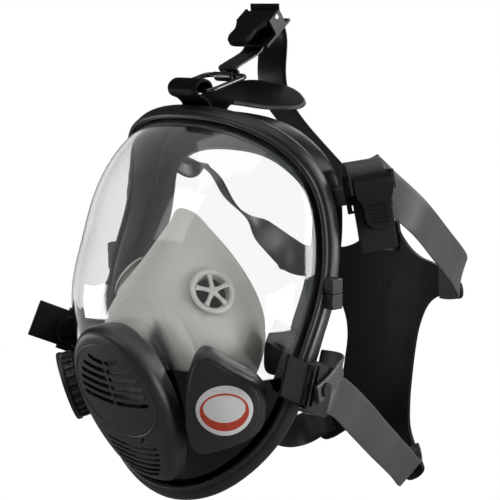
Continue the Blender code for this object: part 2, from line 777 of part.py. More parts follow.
def tab_path(n):
    lean = nv((1, 0, -0.42))
    X = (1, 0, 0)
    K = open_spline(np.array([list(p) + list(nv(w)) for p, w in
                              [((1, -35.5, 112.8), X), ((1, -31.0, 118.0), X),
                               ((4, -20.0, 121.0), nv((1, 0, -0.2))), ((13, -2.0, 121.2), lean),
                               ((21, 13.0, 119.8), lean), ((26.5, 24.0, 118.4), lean)]]), n)
    hw = []
    for i in range(n):
        t = i / (n - 1)
        a = 15.0 + 3.0 * min(1, t / 0.4)
        hw.append(a if t < 0.76 else max(4.0, a * math.sqrt(max(0.0, 1 - ((t - 0.76) / 0.25) ** 2))))
    return K[:, :3], hw, K[:, 3:6]


def ring_path(seg):
    c, h = TONGUE_X, RING_HALF
    pts = [(c + h, -46.3, 125.6), (c - h, -46.3, 125.6), (c - h, -15.0, 133.0),
           (c + h, -15.0, 133.0)]
    C = []
    for i in range(4):
        p, a, b = (np.array(pts[k % 4], float) for k in (i, i + 3, i + 1))
        for t in np.linspace(0, 1, seg):
            C.append((p + 5.0 * nv(a - p)) * (1 - t) ** 2 + 2 * p * t * (1 - t)
                     + (p + 5.0 * nv(b - p)) * t ** 2)
    nrm = nv(np.cross(np.array(pts[1], float) - pts[0], np.array(pts[2], float) - pts[1]))
    return np.array(C), nrm


def lug_path(place, s):
    """Strip from the side of the mask to the back of the buckle's base plate."""
    o, L, W, H = FRAMES[place + ('_right' if s > 0 else '_left')]
    W = W if W[1] > 0 else -W

    def at(l, w, h):
        return o + l * L + w * W + h * H
    if place == 'temple':
        P = [at(-3, 6, -3.6), at(-3, -4, -3.6), at(-3, -12.5, -3.7), at(-3, -16.5, -4.6),
             at(-3, -18.4, -6.4)]
        return P, [L] * len(P)
    P = [at(-9, -4.5, -3.6), at(-3, 0, -3.6), at(4, 6.5, -3.6), at(9, 13, -3.6),
         at(11.6, 18.2, -2.6), at(12.5, 19.8, 2), at(12.5, 20, 8), at(12.5, 20, 12.6)]
    d = nv(0.76 * W - 0.65 * L)
    return P, [d, d, d, nv(0.85 * W - 0.5 * L), nv(W - 0.25 * L), W, W, W]


def link_path():
    """Bent plate from the rear bar of the ring up to the front of the top buckle."""
    o, L, W, H = FRAMES['top']
    c = np.array([TONGUE_X, -15.0, 133.0])
    P = [c + np.array([0, -3.5, 2.2]), c + np.array([0, -3.0, -1.5]), c + np.array([0, 0, -3.2]),
         c + np.array([0, 3.0, -1.0]), c + np.array([0.2, 3.0, 2.4]),
         c + np.array([0.5, 1.5, 5.2]), o - 18.0 * L - 3.8 * H,
         o - 12.0 * L - 3.5 * H, o - 1.5 * L - 3.5 * H]
    return P, [(1, 0, 0)] * len(P)


STRAP_TAGS = ('temple_right', 'temple_left', 'lower_right', 'lower_left', 'top')


def strap_knots(tag):
    """(point, width direction) from the pad end to the tail end."""
    o, L, W, H = FRAMES[tag]
    s = -1 if tag.endswith('left') else 1
    m = np.array([s, 1.0, 1.0])
    if W[1] * 1.0 < 0 and tag != 'top':
        W = -W

    def at(l, h, w=0.0):
        return o + l * L + h * H + w * W

    def world(x, y, z):
        return np.array([x, y, z], float) * m
    if tag == 'top':
        X = (1, 0, 0)
        return [((0, pad_y(12) - 1.9, 2), X), ((0, pad_y(12) - 2.6, 14), X), ((0, 138, 27), X),
                ((0, 112, 49), X), ((0, 83, 71), X), ((0, 47, 99), X), ((0, 30.5, 116), X),
                ((0, 25.0, 132), X), (at(4.0, -12.5), X), (at(8.0, -4), X), (at(8.0, 3), X),
                (at(9.8, 8), X), (at(11.2, 10), X), (at(12.4, 12), X)]
    if tag.startswith('temple'):
        y = pad_y(64)
        Z = (0, 0, 1)
        up = nv((0, 0.1, 1.0)) * m
        dg = nv((0.0, 0.62, 0.78)) * m
        flat = np.array([0.95, 0.30, -0.17]) * m
        far = [(world(79, 108.5, 10), nv(up + 0.5 * flat)), (world(88, 98, 23), nv(0.5 * dg + flat)),
               (world(94.5, 86.6, 36), nv(0.35 * dg + flat)),
               (world(98, 73.5, 56), nv(0.3 * dg + flat)), (world(99, 55, 67), nv(0.3 * dg + flat))]
        near = [(world(82, pad_y(82) - 4.0, -6), up), (world(91, 110, 4), dg),
                (world(97, 78, 26), dg), (world(99, 50, 47), dg)]
        return [(world(58, pad_y(58) - 2.6, -12), Z), (world(68, pad_y(68) - 3.4, -10.5), Z)] + (
            near if s > 0 else far) + [
                (at(-2, -21, 18), nv(dg + 0.6 * W) if s > 0 else nv(0.4 * dg + 0.6 * W + 0.8 * flat)), (at(10, -13, 5), nv(0.4 * dg + W)),
                (at(15.5, -6, 0), W), (at(15.5, 0.5), W), (at(11, 3.0), W), (at(0, 3.15), W),
                (at(-12, 3.6), W), (at(-24, 3.8), W), (at(-38, 2.6), W)]
    e = np.array([0.2, 0.6, 0.78]) * m
    tx, tz = (33.0, -150.0) if s > 0 else (48.0, -133.0)
    px, pz = (26.0, -142.0) if s > 0 else (42.0, -128.0)
    w2 = nv(np.array([0.6, 0.2, 0.7]) * m)
    return [(world(px, pad_y(px) - 3.6, pz), w2), (world(tx, pad_y(tx) - 5.4, tz), w2),
            (world(46 if s > 0 else 55, 122, -150 if s > 0 else -139), nv(w2 + e)),
            (world(56, 95, -132), e), (world(71, 52, -104), e), (world(85, 14, -79), e),
            (at(24, 0.5), nv(0.5 * e + W)), (at(12, 3.0), W), (at(0, 3.15), W), (at(-12, 3.4), W),
            (at(-24, 3.0), W), (at(-40, 1.0), W)]


def rivet(name, c, H):
    m = material(name + '_steel', (0.4, 0.4, 0.4), 0.3, 1.0)
    e1, e2, a = basis(H)
    prof = [(-6.4, 4.2), (-4.9, 4.2), (-4.9, 2.7), (0.9, 2.7)]
    rows = [[c + w * a + r * (math.cos(2 * math.pi * i / 16) * e1
                              + math.sin(2 * math.pi * i / 16) * e2)
             for i in range(16)] for w, r in prof]
    return swept(name, rows, False, m, 35)


def build():
    for ob in list(bpy.data.objects):
        bpy.data.objects.remove(ob, do_unlink=True)

    m_lens = material('lens_clear', (0.95, 0.96, 0.97), 0.04, transmission=1.0)
    m_frame_u = material('frame_upper_nylon', (0.03, 0.03, 0.033), 0.35)
    m_frame_l = material('frame_lower_nylon', (0.03, 0.03, 0.033), 0.35)
    m_blank = material('blank_rubber', (0.02, 0.02, 0.022), 0.45)
    m_hm = material('half_mask_silicone', (0.42, 0.41, 0.38), 0.5)
    m_cover = material('cover_plastic', (0.04, 0.04, 0.043), 0.5)
    m_pod = material('blanking_plastic', (0.035, 0.035, 0.038), 0.38)

    # lens with its three openings and the lower one for exhaled air
    lens = make_lens(m_lens)
    fa = nv(FRONT_AXIS)
    fc = lens_point(0, FRONT_Z)
    ea = lens_normal(0, EXH_Z)
    ec = lens_point(0, EXH_Z)
    pa = {s: port_axis() * np.array([s, 1, 1]) for s in (1, -1)}
    pc = {s: lens_point(s * PORT_XZ[0], PORT_XZ[1]) for s in (1, -1)}
    cuts = [cutter_cyl(fc, fa, FRONT_HOLE_R, -14, 14), cutter_cyl(ec, ea, EXH_HOLE_R, -9, 9, 24)]
    cuts += [cutter_cyl(pc[s], pa[s], PORT_HOLE_R, -16, 16) for s in (1, -1)]
    boolean(lens, cuts, 'DIFFERENCE', 40)

    # clamp frame, its bosses and screws
    fu = make_frame('frame_upper', True, m_frame_u)
    fl = make_frame('frame_lower', False, m_frame_l)
    for s, tag in ((1, 'right'), (-1, 'left')):
        o, u, n, z = boss_frame(s)
        hu, hv = BOSS_U / 2, BOSS_V
        fr = (o + 3.2 * n, z, u, n)
        zg = FRAME_SPLIT_GAP / 2
        sc = o + 8.4 * n
        # each half's box is drilled for the screw before it joins the frame
        up = box_local('b', fr, zg + 0.04, BOSS_L, -hu, hu, 0.0, hv, None)
        dn = box_local('b', fr, -BOSS_L, -zg - 0.04, -hu, hu, 0.0, hv, None)
        boolean(up, [cutter_cyl(sc, z, SCREW_R + GAP, -3, 16, 16),
                     cutter_cyl(sc, z, HEAD_R + GAP, BOSS_L - 3.0, BOSS_L + 3, 16)], 'DIFFERENCE', 40)
        boolean(dn, [cutter_cyl(sc, z, SCREW_R + GAP, -16, 3, 16),
                     cutter_cyl(sc, z, HEAD_R + GAP, -BOSS_L - 3, -BOSS_L + 3.0, 16)], 'DIFFERENCE', 40)
        boolean(fu, [up], 'UNION', 40)
        boolean(fl, [dn], 'UNION', 40)
        m_s = material('screw_steel_' + tag, (0.5, 0.5, 0.5), 0.35, 1.0)
        m_n = material('nut_steel_' + tag, (0.5, 0.5, 0.5), 0.4, 1.0)
        top = BOSS_L - 3.0 + 2.2
        e1, e2, a = basis(z)
        prof = [(-BOSS_L + 0.3, 0.0), (-BOSS_L + 0.3, HEAD_R), (-BOSS_L + 2.7, HEAD_R),
                (-BOSS_L + 2.7, SCREW_R), (top, SCREW_R), (top, 0.0)]
        rows = [[sc + w * a + r * (math.cos(2 * math.pi * i / 16) * e1
                                   + math.sin(2 * math.pi * i / 16) * e2)
                 for i in range(16)] for w, r in prof[1:-1]]
        swept('frame_screw_' + tag, rows, False, m_s, 35)
        lathe('frame_nut_' + tag, [(BOSS_L - 2.7, SCREW_R + GAP), (BOSS_L - 2.7, HEAD_R),
                                   (BOSS_L - 0.5, HEAD_R), (BOSS_L - 0.5, SCREW_R + GAP)],
              sc, z, m_n, 6, 20)

    make_blank(m_blank)

    # half mask with an inhalation valve on each side
    hm = make_half_mask(m_hm)
    for s, tag in ((1, 'right'), (-1, 'left')):
        c, n = valve_place(s)
        boolean(hm, [cutter_cyl(c, n, 11.2, -9, 9, 28)], 'DIFFERENCE', 50)
        m_v = material('valve_seat_' + tag, (0.45, 0.44, 0.41), 0.5)
        m_f = material('valve_flap_' + tag, (0.05, 0.05, 0.05), 0.5)
        seat = lathe('inhale_seat_' + tag, [(-2.6, 8.6), (-2.6, 10.9), (1.7, 10.9), (1.7, 13.2),
                                            (3.1, 12.6), (3.1, 8.6)], c, n, m_v, 28)
        e1, e2, a = basis(n)
        spokes = []
        for i in range(5):
            t = 2 * math.pi * (i + 0.25) / 5
            d = math.cos(t) * e1 + math.sin(t) * e2
            q = np.cross(a, d)
            rows = [[c + r * d - 1.1 * q + 1.2 * a, c + r * d + 1.1 * q + 1.2 * a,
                     c + r * d + 1.1 * q + 2.7 * a, c + r * d - 1.1 * q + 2.7 * a]
                    for r in (2.1, 9.4)]
            spokes.append(swept('sp', rows, False, None, 0))
        hub = disc('hub', 1.0, 3.0, 3.0, c, n, None, 16, 0)
        boolean(seat, spokes + [hub], 'UNION', 35)
        disc('inhale_flap_' + tag, -3.6, -2.95, 10.4, c, n, m_f, 24, 35, c - 3.2 * n)

    # front unit: housing, speech diaphragm, retaining ring, exhalation valve, cover
    m_h = material('housing_nylon', (0.03, 0.03, 0.03), 0.45)
    lathe('front_housing', [(-12, 22.3), (-12, 25.2), (0.7, 25.2), (0.7, 31.0), (3.4, 31.0),
                            (3.4, 22.3), (-0.8, 22.3), (-0.8, 19.8), (-3.0, 19.8),
                            (-3.0, 22.3)], fc, fa, m_h, 36)
    m_d = material('diaphragm_film', (0.55, 0.55, 0.52), 0.35)
    disc('speech_diaphragm', -0.5, -0.1, 22.0, fc, fa, m_d, 36)
    m_r = material('ring_nylon', (0.04, 0.04, 0.04), 0.4)
    lathe('diaphragm_ring', [(0.2, 19.5), (0.2, 22.0), (3.2, 22.0), (3.2, 19.5)], fc, fa, m_r, 36)
    m_c = material('clamp_nut_nylon', (0.03, 0.03, 0.03), 0.5)
    lathe('housing_nut', [(-11.5, 25.5), (-11.5, 27.3), (-8.0, 27.3), (-8.0, 25.5)],
          fc, fa, m_c, 24, 20)
    m_e = material('exhale_seat_nylon', (0.04, 0.04, 0.04), 0.45)
    seat = lathe('exhale_seat', [(-5.0, 9.4), (-5.0, 11.3), (0.7, 11.3), (0.7, 13.6),
                                 (1.5, 13.6), (1.5, 9.4)], ec, ea, m_e, 24)
    e1, e2, a = basis(ea)
    bars = []
    for d, q in ((e1, e2), (e2, e1)):
        rows = [[ec + r * d - 0.9 * q - 2.5 * a, ec + r * d + 0.9 * q - 2.5 * a,
                 ec + r * d + 0.9 * q + 1.0 * a, ec + r * d - 0.9 * q + 1.0 * a]
                for r in (-10.2, 10.2)]
        bars.append(swept('bar', rows, False, None, 0))
    boolean(seat, bars, 'UNION')
    m_ef = material('exhale_flap_silicone', (0.5, 0.5, 0.48), 0.4)
    disc('exhale_flap', 1.8, 2.5, 12.2, ec, ea, m_ef, 24, 35, ec + 2.15 * ea)
    cover = make_cover(m_cover)
    boolean(cover, cover_slots(), 'DIFFERENCE', 40)

    # side ports: a connector on each side, the right one under a blanking cover
    for s, tag in ((1, 'right'), (-1, 'left')):
        m_p = material('port_nylon_' + tag, (0.03, 0.03, 0.03), 0.4)
        c, a = pc[s], pa[s]
        if s > 0:
            prof = [(-9, 14.0), (-9, 16.6), (-2.4, 16.6), (-2.4, 14.0)]
        else:
            prof = [(-9, 14.0), (-9, 16.6), (2.0, 16.6), (4.0, 20.5), (9.5, 20.5),
                    (11.0, 22.3), (13.5, 22.3), (13.5, 18.2), (5.8, 18.2), (4.4, 14.0)]
        lathe('port_body_' + tag, prof, c, a, m_p, 32)
        if s < 0:
            m_ps = material('port_valve_seat', (0.05, 0.05, 0.05), 0.5)
            seat = lathe('port_valve_seat', [(7.0, 14.5), (7.0, 17.9), (9.0, 17.9),
                                             (9.0, 14.5)], c, a, m_ps, 28)
            e1, e2, aa = basis(a)
            bars = []
            for d, q in ((e1, e2), (e2, e1)):
                rows = [[c + r * d - 1.0 * q + 7.2 * a, c + r * d + 1.0 * q + 7.2 * a,
                         c + r * d + 1.0 * q + 8.8 * a, c + r * d - 1.0 * q + 8.8 * a]
                        for r in (-15.2, 15.2)]
                bars.append(swept('bar', rows, False, None, 0))
            boolean(seat, bars, 'UNION')
            m_pf = material('port_flap_silicone', (0.4, 0.4, 0.38), 0.5)
            disc('port_flap', 5.9, 6.7, 15.4, c, a, m_pf, 24, 35, c + 6.3 * a)
    rows = pod_rows(30, [(0.25, POD_H), (0.6, POD_H), (0.9, POD_H), (0.97, POD_H - 0.9),
                         (1.0, POD_H - 2.6), (1.0, 0.9), (0.945, 0.9), (0.945, POD_H - 3.4),
                         (0.9, POD_H - 2.2), (0.6, POD_H - 2.2), (0.25, POD_H - 2.2)])
    capped('blanking_cover', rows, m_pod, 40)
    m_b = material('badge_print', (0.8, 0.8, 0.8), 0.4)
    bc = lens_point(61.7, -49.0) + (POD_H + 0.3) * pa[1]
    ba = nv(lens_normal(61.7, -49.0) + 0.35 * pa[1])
    # the badge is bent over the cover's face
    e1, e2, a = basis(pa[1])
    rows = []
    P0 = np.array([61.7, -49.0])

    def over(p, h):
        # moves a point along the port axis until it is h off the lens
        lo, hi = -40.0, 60.0
        for _ in range(40):
            mid = (lo + hi) / 2
            q = p + mid * pa[1]
            if q[1] < lens_y(q[0], q[2]):
                hi = mid
            else:
                lo = mid
        return p + (lo + h) * pa[1]
    for h, r in ((POD_H + 0.3, 4.0), (POD_H + 0.3, BADGE_R * 0.6), (POD_H + 0.3, BADGE_R),
                 (POD_H + 0.7, BADGE_R), (POD_H + 0.7, BADGE_R * 0.6), (POD_H + 0.7, 4.0)):
        rows.append([over(bc + r * (math.cos(2 * math.pi * i / 28) * e1
                                    + math.sin(2 * math.pi * i / 28) * e2), h)
                     for i in range(28)])
    capped('badge', rows, m_b, 40)

    # forehead tongue, ring, tab and the stud of the top buckle
    m_t = material('tongue_rubber', (0.02, 0.02, 0.02), 0.5)
    X = (1, 0, 0)
    cx = TONGUE_X
    band('forehead_tongue', [((cx, -39.6, 111.8), X), ((cx, -42.4, 117.5), X),
                             ((cx, -47.0, 121.2), X), ((cx, -53.0, 123.4), X),
                             ((cx, -54.3, 128.0), X),
                             ((cx, -48.5, 131.5), X), ((cx, -41.5, 129.5), X),
                             ((cx, -40.0, 123.5), X)], 18, TONGUE_W, 2.4, m_t)
    m_l = material('tab_rubber', (0.03, 0.03, 0.03), 0.55)
    P, hw, wd = tab_path(22)
    strip('forehead_tab', P, hw, wd, 2.2, m_l, 35)
    m_ring = material('ring_steel', (0.05, 0.05, 0.05), 0.2, 0.8)
    C, nrm = ring_path(5)
    T = np.roll(C, -1, 0) - np.roll(C, 1, 0)
    rows = []
    for i in range(len(C)):
        t = nv(T[i])
        q = nv(np.cross(nrm, t))
        rows.append([C[i] + RING_R * (math.cos(2 * math.pi * k / 8) * q
                                      + math.sin(2 * math.pi * k / 8) * nrm) for k in range(8)])
    swept('top_ring', rows, True, m_ring, 60)

    # buckles
    for tag, fr in FRAMES.items():
        make_buckle(tag, fr, material('buckle_' + tag, (0.03, 0.03, 0.03), 0.35),
                    material('pin_' + tag, (0.55, 0.55, 0.55), 0.25, 1.0),
                    material('lever_' + tag, (0.04, 0.04, 0.04), 0.4))

    # lugs that hold the side buckles to the blank, and the link of the top one
    for side, s in (('right', 1), ('left', -1)):
        for place in ('temple', 'lower'):
            m_lug = material('lug_' + place + '_' + side, (0.02, 0.02, 0.02), 0.5)
            P, wd = lug_path(place, s)
            lug = band('lug_' + place + '_' + side, [(p, w) for p, w in zip(P, wd)], 12, LUG_W,
                       LUG_T, m_lug)
            o, L, W, H = FRAMES[place + '_' + side]
            boolean(lug, [cutter_cyl(o - 3.0 * L, H, 2.7 + GAP, -8, 3, 16)])
            rivet('rivet_' + place + '_' + side, o - 3.0 * L, H)
    o, L, W, H = FRAMES['top']
    m_k = material('link_steel', (0.4, 0.4, 0.4), 0.25, 1.0)
    P, wd = link_path()
    link = band('top_link', [(p, w) for p, w in zip(P, wd)], 16, 16.0, 1.6, m_k)
    boolean(link, [cutter_cyl(o - 7.0 * L, H, 2.7 + GAP, -8, 3, 16)])
    rivet('rivet_top', o - 7.0 * L, H)

    # harness pad: a bent sheet trimmed to its five arms
    nx = 20
    xs = np.linspace(-100, 100, nx)
    rows = []
    for z in (-190.0, 45.0):
        rows.append([(x, pad_y(x), z) for x in xs] + [(x, pad_y(x) + PAD_T, z) for x in xs[::-1]])
    m_pad = material('pad_rubber', (0.02, 0.02, 0.022), 0.6)
    pad = swept('harness_pad', rows, False, m_pad, 40)
    outline = pad_outline()
    cut = swept('cutter', [[(x, 90.0, z) for x, z in outline], [(x, 175.0, z) for x, z in outline]],
                False, None, 0)
    boolean(pad, [cut], 'INTERSECT', 40)

    # straps, each one band from the pad through its buckle to the tail
    for tag in STRAP_TAGS:
        knots = strap_knots(tag)
        band('strap_' + tag, knots, 34, STRAP_W, STRAP_T,
             material('webbing_' + tag, (0.03, 0.03, 0.035), 0.7), 35)


build()
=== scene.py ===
"""Looks of the full face respirator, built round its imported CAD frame."""
import bpy
import bmesh
import math
import numpy as np
from mathutils import Vector, Matrix
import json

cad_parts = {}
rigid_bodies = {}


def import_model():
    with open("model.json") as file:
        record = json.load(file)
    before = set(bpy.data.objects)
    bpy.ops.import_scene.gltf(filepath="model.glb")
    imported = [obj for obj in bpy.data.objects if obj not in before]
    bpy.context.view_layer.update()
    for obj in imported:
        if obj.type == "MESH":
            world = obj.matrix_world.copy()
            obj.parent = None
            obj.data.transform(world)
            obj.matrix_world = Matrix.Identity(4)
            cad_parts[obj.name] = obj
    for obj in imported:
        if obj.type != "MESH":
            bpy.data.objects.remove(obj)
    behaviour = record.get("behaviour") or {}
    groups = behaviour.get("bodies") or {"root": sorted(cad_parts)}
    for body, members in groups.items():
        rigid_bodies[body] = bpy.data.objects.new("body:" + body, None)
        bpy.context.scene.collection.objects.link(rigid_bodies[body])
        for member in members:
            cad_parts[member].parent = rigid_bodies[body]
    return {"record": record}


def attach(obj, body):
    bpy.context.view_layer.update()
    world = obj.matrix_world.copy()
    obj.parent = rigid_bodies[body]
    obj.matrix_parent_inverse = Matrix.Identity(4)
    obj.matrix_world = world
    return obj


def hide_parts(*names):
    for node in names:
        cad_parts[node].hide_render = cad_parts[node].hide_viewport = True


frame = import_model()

MM = 0.001
GAP = 0.3

# ---- lens ---------------------------------------------------------------
LENS_T = 2.5
LENS_FRONT_Y = -111.8
LENS_POLE_Z = 2.6
LENS_N = (2.92, 1.9, 1.9)        # roundness at side, top, chin
LENS_K = (1.037, 1.074, 1.187)   # how far short of the widest point it stops
LENS_EDGE = 5.0                  # straight edge held in the groove
RIM = [(0, -52, 108), (30, -49.8, 105.6), (52, -43.8, 98.5), (68, -33.5, 85),
       (77, -25.2, 66), (81.6, -23.8, 45), (85.4, -28, 24), (87, -36.8, 0),
       (85.5, -45.5, -20), (82, -52.5, -42), (74, -60, -67), (56, -68, -91),
       (31, -74, -108.5), (0, -76.5, -115.5)]
RIM_STEPS = 56
LENS_RINGS = 7

# ---- clamp frame and face blank, sections in (along lens, off lens) ------
FRAME_SEC = [(-1.5, 2.1), (-1.5, 4.0), (0.2, 5.0), (9.3, 5.0), (10.6, 3.8),
             (10.6, -3.0), (7.6, -3.0), (7.6, 2.1)]
FRAME_SPLIT_Z = 10.0
FRAME_SPLIT_GAP = 0.5
BLANK_GROOVE = [(-0.8, 0.3), (5.3, 0.3), (5.3, -2.8), (-3.0, -2.8), (-3.7, -3.6),
                (-3.0, -4.6), (6.0, -5.4)]
SEAL_Y = [(-130, -40), (-65, -38), (-20, -27), (20, -13), (45, -3.5), (75, 0.0),
          (100, -6), (115, -8)]
SEAL_OUT = 3.0
SKIRT_T = 2.2
FLANGE_W = 24.0
BOSS_U, BOSS_V, BOSS_L = 8.0, 8.4, 9.0
SCREW_R = 1.25
HEAD_R = 2.1

# ---- half mask ----------------------------------------------------------
HM_REAR = [(0, -57, 55), (12, -53, 46), (25, -46, 31), (37, -40, 13), (45, -36, -6),
           (47, -36, -27), (42, -41, -49), (27, -48, -69), (0, -52, -78)]
HM_FRONT = (0, -57, 33.8, 48.0)    # x, z, half width, half height at the lens
HM_T = 1.8
HM_STEPS, HM_RINGS = 36, 7
VALVE_AT = (26, -64, 2)
VALVE_R = 13.0

# ---- front unit ---------------------------------------------------------
FRONT_Z = -42.0
FRONT_AXIS = (0, -0.97, -0.243)
FRONT_HOLE_R = 25.6
EXH_Z = -87.0
EXH_HOLE_R = 11.6
COVER_C = (0, -58.0)
COVER_TOP, COVER_BOTTOM, COVER_HALF = 50.0, 53.0, 38.5
COVER_T = 2.0
PLATE = (-127.0, -20.0, 0.2514, 0.00191, 0.0025)   # y, z, slope, bend down, bend across
UPPER_SLOTS = [(-33.0, 12.6), (-38.2, 18.0), (-43.5, 20.5), (-48.8, 22.6), (-54.2, 24.0)]
LOWER_SLOTS = [(-86.0, 22.0), (-90.0, 21.4), (-94.0, 20.4), (-98.0, 18.4), (-101.8, 16.0),
               (-105.4, 13.0)]

# ---- side ports ---------------------------------------------------------
PORT_XZ = (60.0, -59.0)
PORT_HOLE_R = 17.0
POD_H = 11.0
POD = [(57.5, -14.5), (67, -22), (74.5, -31.5), (76.6, -42), (75.2, -54), (71, -65.5),
       (62, -73), (50, -78.5), (40.5, -79.8), (38.4, -72), (40.4, -56), (44.0, -42),
       (50, -24)]
BADGE_R = 16.5

# ---- harness ------------------------------------------------------------
STRAP_W, STRAP_T = 24.0, 1.5
PAD_Y, PAD_BEND, PAD_T = 150.0, 0.0035, 3.0
PAD = [(0, 24), (10, 23), (13, 15), (22, 6), (33, 0.5), (46, -1.5), (60, -4), (79, -10),
       (80, -20), (64, -21), (50, -26), (40, -35), (33, -50), (30, -66), (29.5, -85),
       (30, -104), (33, -122), (42, -135), (51, -145), (37, -158), (23, -146), (12, -135),
       (0, -131)]


TONGUE_X, TONGUE_W = -2.5, 24.0
RING_R, RING_HALF = 1.6, 17.0
LUG_W, LUG_T = 11.0, 2.2


def nv(v):
    v = np.asarray(v, float)
    return v / np.linalg.norm(v)


# ------------------------------------------------------------------ curves
def closed_spline(points, steps):
    """Even points on a smooth closed curve through the given ones."""
    P = np.array(points, float)
    n = len(P)
    h = np.linalg.norm(np.roll(P, -1, 0) - P, axis=1) ** 0.8
    t = np.concatenate([[0], np.cumsum(h)])
    A = np.zeros((n, n))
    B = np.zeros((n, P.shape[1]))
    for i in range(n):
        hm, hp = h[i - 1], h[i]
        A[i, (i - 1) % n] += hm
        A[i, i] += 2 * (hm + hp)
        A[i, (i + 1) % n] += hp
        B[i] = 6 * ((P[(i + 1) % n] - P[i]) / hp - (P[i] - P[i - 1]) / hm)
    M = np.linalg.solve(A, B)

    def ev(u):
        u = np.asarray(u) % 1 * t[-1]
        i = np.clip(np.searchsorted(t, u, side='right') - 1, 0, n - 1)
        j = (i + 1) % n
        H = h[i][:, None]
        a = (t[i + 1] - u)[:, None]
        b = (u - t[i])[:, None]
        return (M[i] * a ** 3 / (6 * H) + M[j] * b ** 3 / (6 * H)
                + (P[i] / H - M[i] * H / 6) * a + (P[j] / H - M[j] * H / 6) * b)

    s = np.linspace(0, 1, 4001)
    Q = ev(s[:-1])
    Q = np.vstack([Q, Q[:1]])
    L = np.concatenate([[0], np.cumsum(np.linalg.norm(np.diff(Q, axis=0), axis=1))])
    return ev(np.interp(np.linspace(0, L[-1], steps + 1)[:-1], L, s))


def mirrored(half):
    return list(half) + [tuple([-p[0]] + list(p[1:])) for p in half[1:-1]][::-1]


def open_spline(points, steps):
    """Catmull-Rom run through the points, evenly spaced."""
    P = np.array(points, float)
    P = np.vstack([2 * P[0] - P[1], P, 2 * P[-1] - P[-2]])
    out = []
    for i in range(1, len(P) - 2):
        for t in np.linspace(0, 1, 24, endpoint=False):
            a, b, c, d = P[i - 1:i + 3]
            out.append(0.5 * (2 * b + (c - a) * t + (2 * a - 5 * b + 4 * c - d) * t * t
                              + (3 * b - a - 3 * c + d) * t ** 3))
    out.append(P[-2])
    out = np.array(out)
    L = np.concatenate([[0], np.cumsum(np.linalg.norm(np.diff(out[:, :3], axis=0), axis=1))])
    s = np.linspace(0, L[-1], steps)
    return np.stack([np.interp(s, L, out[:, k]) for k in range(out.shape[1])], 1)


# ------------------------------------------------------------------- lens
RIM_FINE = closed_spline(mirrored(RIM), 720)
_d = RIM_FINE[:, [0, 2]] - np.array([0, LENS_POLE_Z])
_ang = np.arctan2(_d[:, 1], _d[:, 0])
_o = np.argsort(_ang)
RIM_ANG, RIM_RAD, RIM_YY = _ang[_o], np.hypot(_d[:, 0], _d[:, 1])[_o], RIM_FINE[_o, 1]


def lens_nk(x, z):
    a = np.arctan2(z - LENS_POLE_Z, np.abs(x))
    wt = np.clip(np.sin(a), 0, 1) ** 2
    wb = np.clip(-np.sin(a), 0, 1) ** 2
    ws = 1 - wt - wb
    return (LENS_N[0] * ws + LENS_N[1] * wt + LENS_N[2] * wb,
            LENS_K[0] * ws + LENS_K[1] * wt + LENS_K[2] * wb)


def lens_rise(s, n, k):
    return 1 - (1 - np.clip(s / k, 0, 1) ** n) ** (1 / n)


def lens_y(x, z):
    """Height of the outer lens surface (its Y) over a point of the XZ plane."""
    x = np.asarray(x, float)
    z = np.asarray(z, float)
    a = np.arctan2(z - LENS_POLE_Z, x)
    rr = np.interp(a, RIM_ANG, RIM_RAD, period=2 * np.pi)
    ry = np.interp(a, RIM_ANG, RIM_YY, period=2 * np.pi)
    n, k = lens_nk(x, z)
    s = np.hypot(x, z - LENS_POLE_Z) / rr
    return LENS_FRONT_Y + lens_rise(s, n, k) / lens_rise(1.0, n, k) * (ry - LENS_FRONT_Y)


def lens_point(x, z):
    return np.array([x, float(lens_y(x, z)), z])


def lens_normal(x, z, e=0.4):
    gx = float(lens_y(x + e, z) - lens_y(x - e, z)) / (2 * e)
    gz = float(lens_y(x, z + e) - lens_y(x, z - e)) / (2 * e)
    return nv((gx, -1, gz))


def rim_frames(steps):
    """Rim points with the direction out along the lens and the one off its face."""
    R = closed_spline(mirrored(RIM), steps)
    T = np.roll(R, -1, 0) - np.roll(R, 1, 0)
    T /= np.linalg.norm(T, axis=1)[:, None]
    n, k = lens_nk(R[:, 0], R[:, 2])
    q = (1 / k) ** n
    slope = (1 - q) ** (1 / n - 1) * (1 / k) ** (n - 1) / k / lens_rise(1.0, n, k)
    D = np.stack([R[:, 0], slope * (R[:, 1] - LENS_FRONT_Y), R[:, 2] - LENS_POLE_Z], 1)
    D -= (D * T).sum(1)[:, None] * T
    U = D / np.linalg.norm(D, axis=1)[:, None]
    N = np.cross(U, T)
    N /= np.linalg.norm(N, axis=1)[:, None]
    flip = (N * (R - np.array([0, 10, 0]))).sum(1) < 0
    N[flip] *= -1
    return R, U, N


# ---------------------------------------------------------------- building
def material(name, colour, rough, metal=0.0, alpha=1.0, transmission=0.0, spec=0.5):
    m = bpy.data.materials.new(name)
    m.use_nodes = True
    b = m.node_tree.nodes['Principled BSDF']
    b.inputs['Base Color'].default_value = (*colour, 1)
    b.inputs['Roughness'].default_value = rough
    b.inputs['Metallic'].default_value = metal
    b.inputs['Alpha'].default_value = alpha
    b.inputs['Transmission Weight'].default_value = transmission
    b.inputs['Specular IOR Level'].default_value = spec
    return m


def new_object(name, verts, faces, mat, smooth=35, origin=None):
    o = np.zeros(3) if origin is None else np.asarray(origin, float)
    me = bpy.data.meshes.new(name)
    me.from_pydata([tuple((np.asarray(v, float) - o) * MM) for v in verts], [], faces)
    bm = bmesh.new()
    bm.from_mesh(me)
    bmesh.ops.remove_doubles(bm, verts=bm.verts, dist=0.00001)
    bmesh.ops.recalc_face_normals(bm, faces=bm.faces)
    bm.to_mesh(me)
    bm.free()
    ob = bpy.data.objects.new(name, me)
    bpy.context.scene.collection.objects.link(ob)
    ob.location = tuple(o * MM)
    if mat is not None:
        me.materials.append(mat)
    shade(ob, smooth)
    return ob


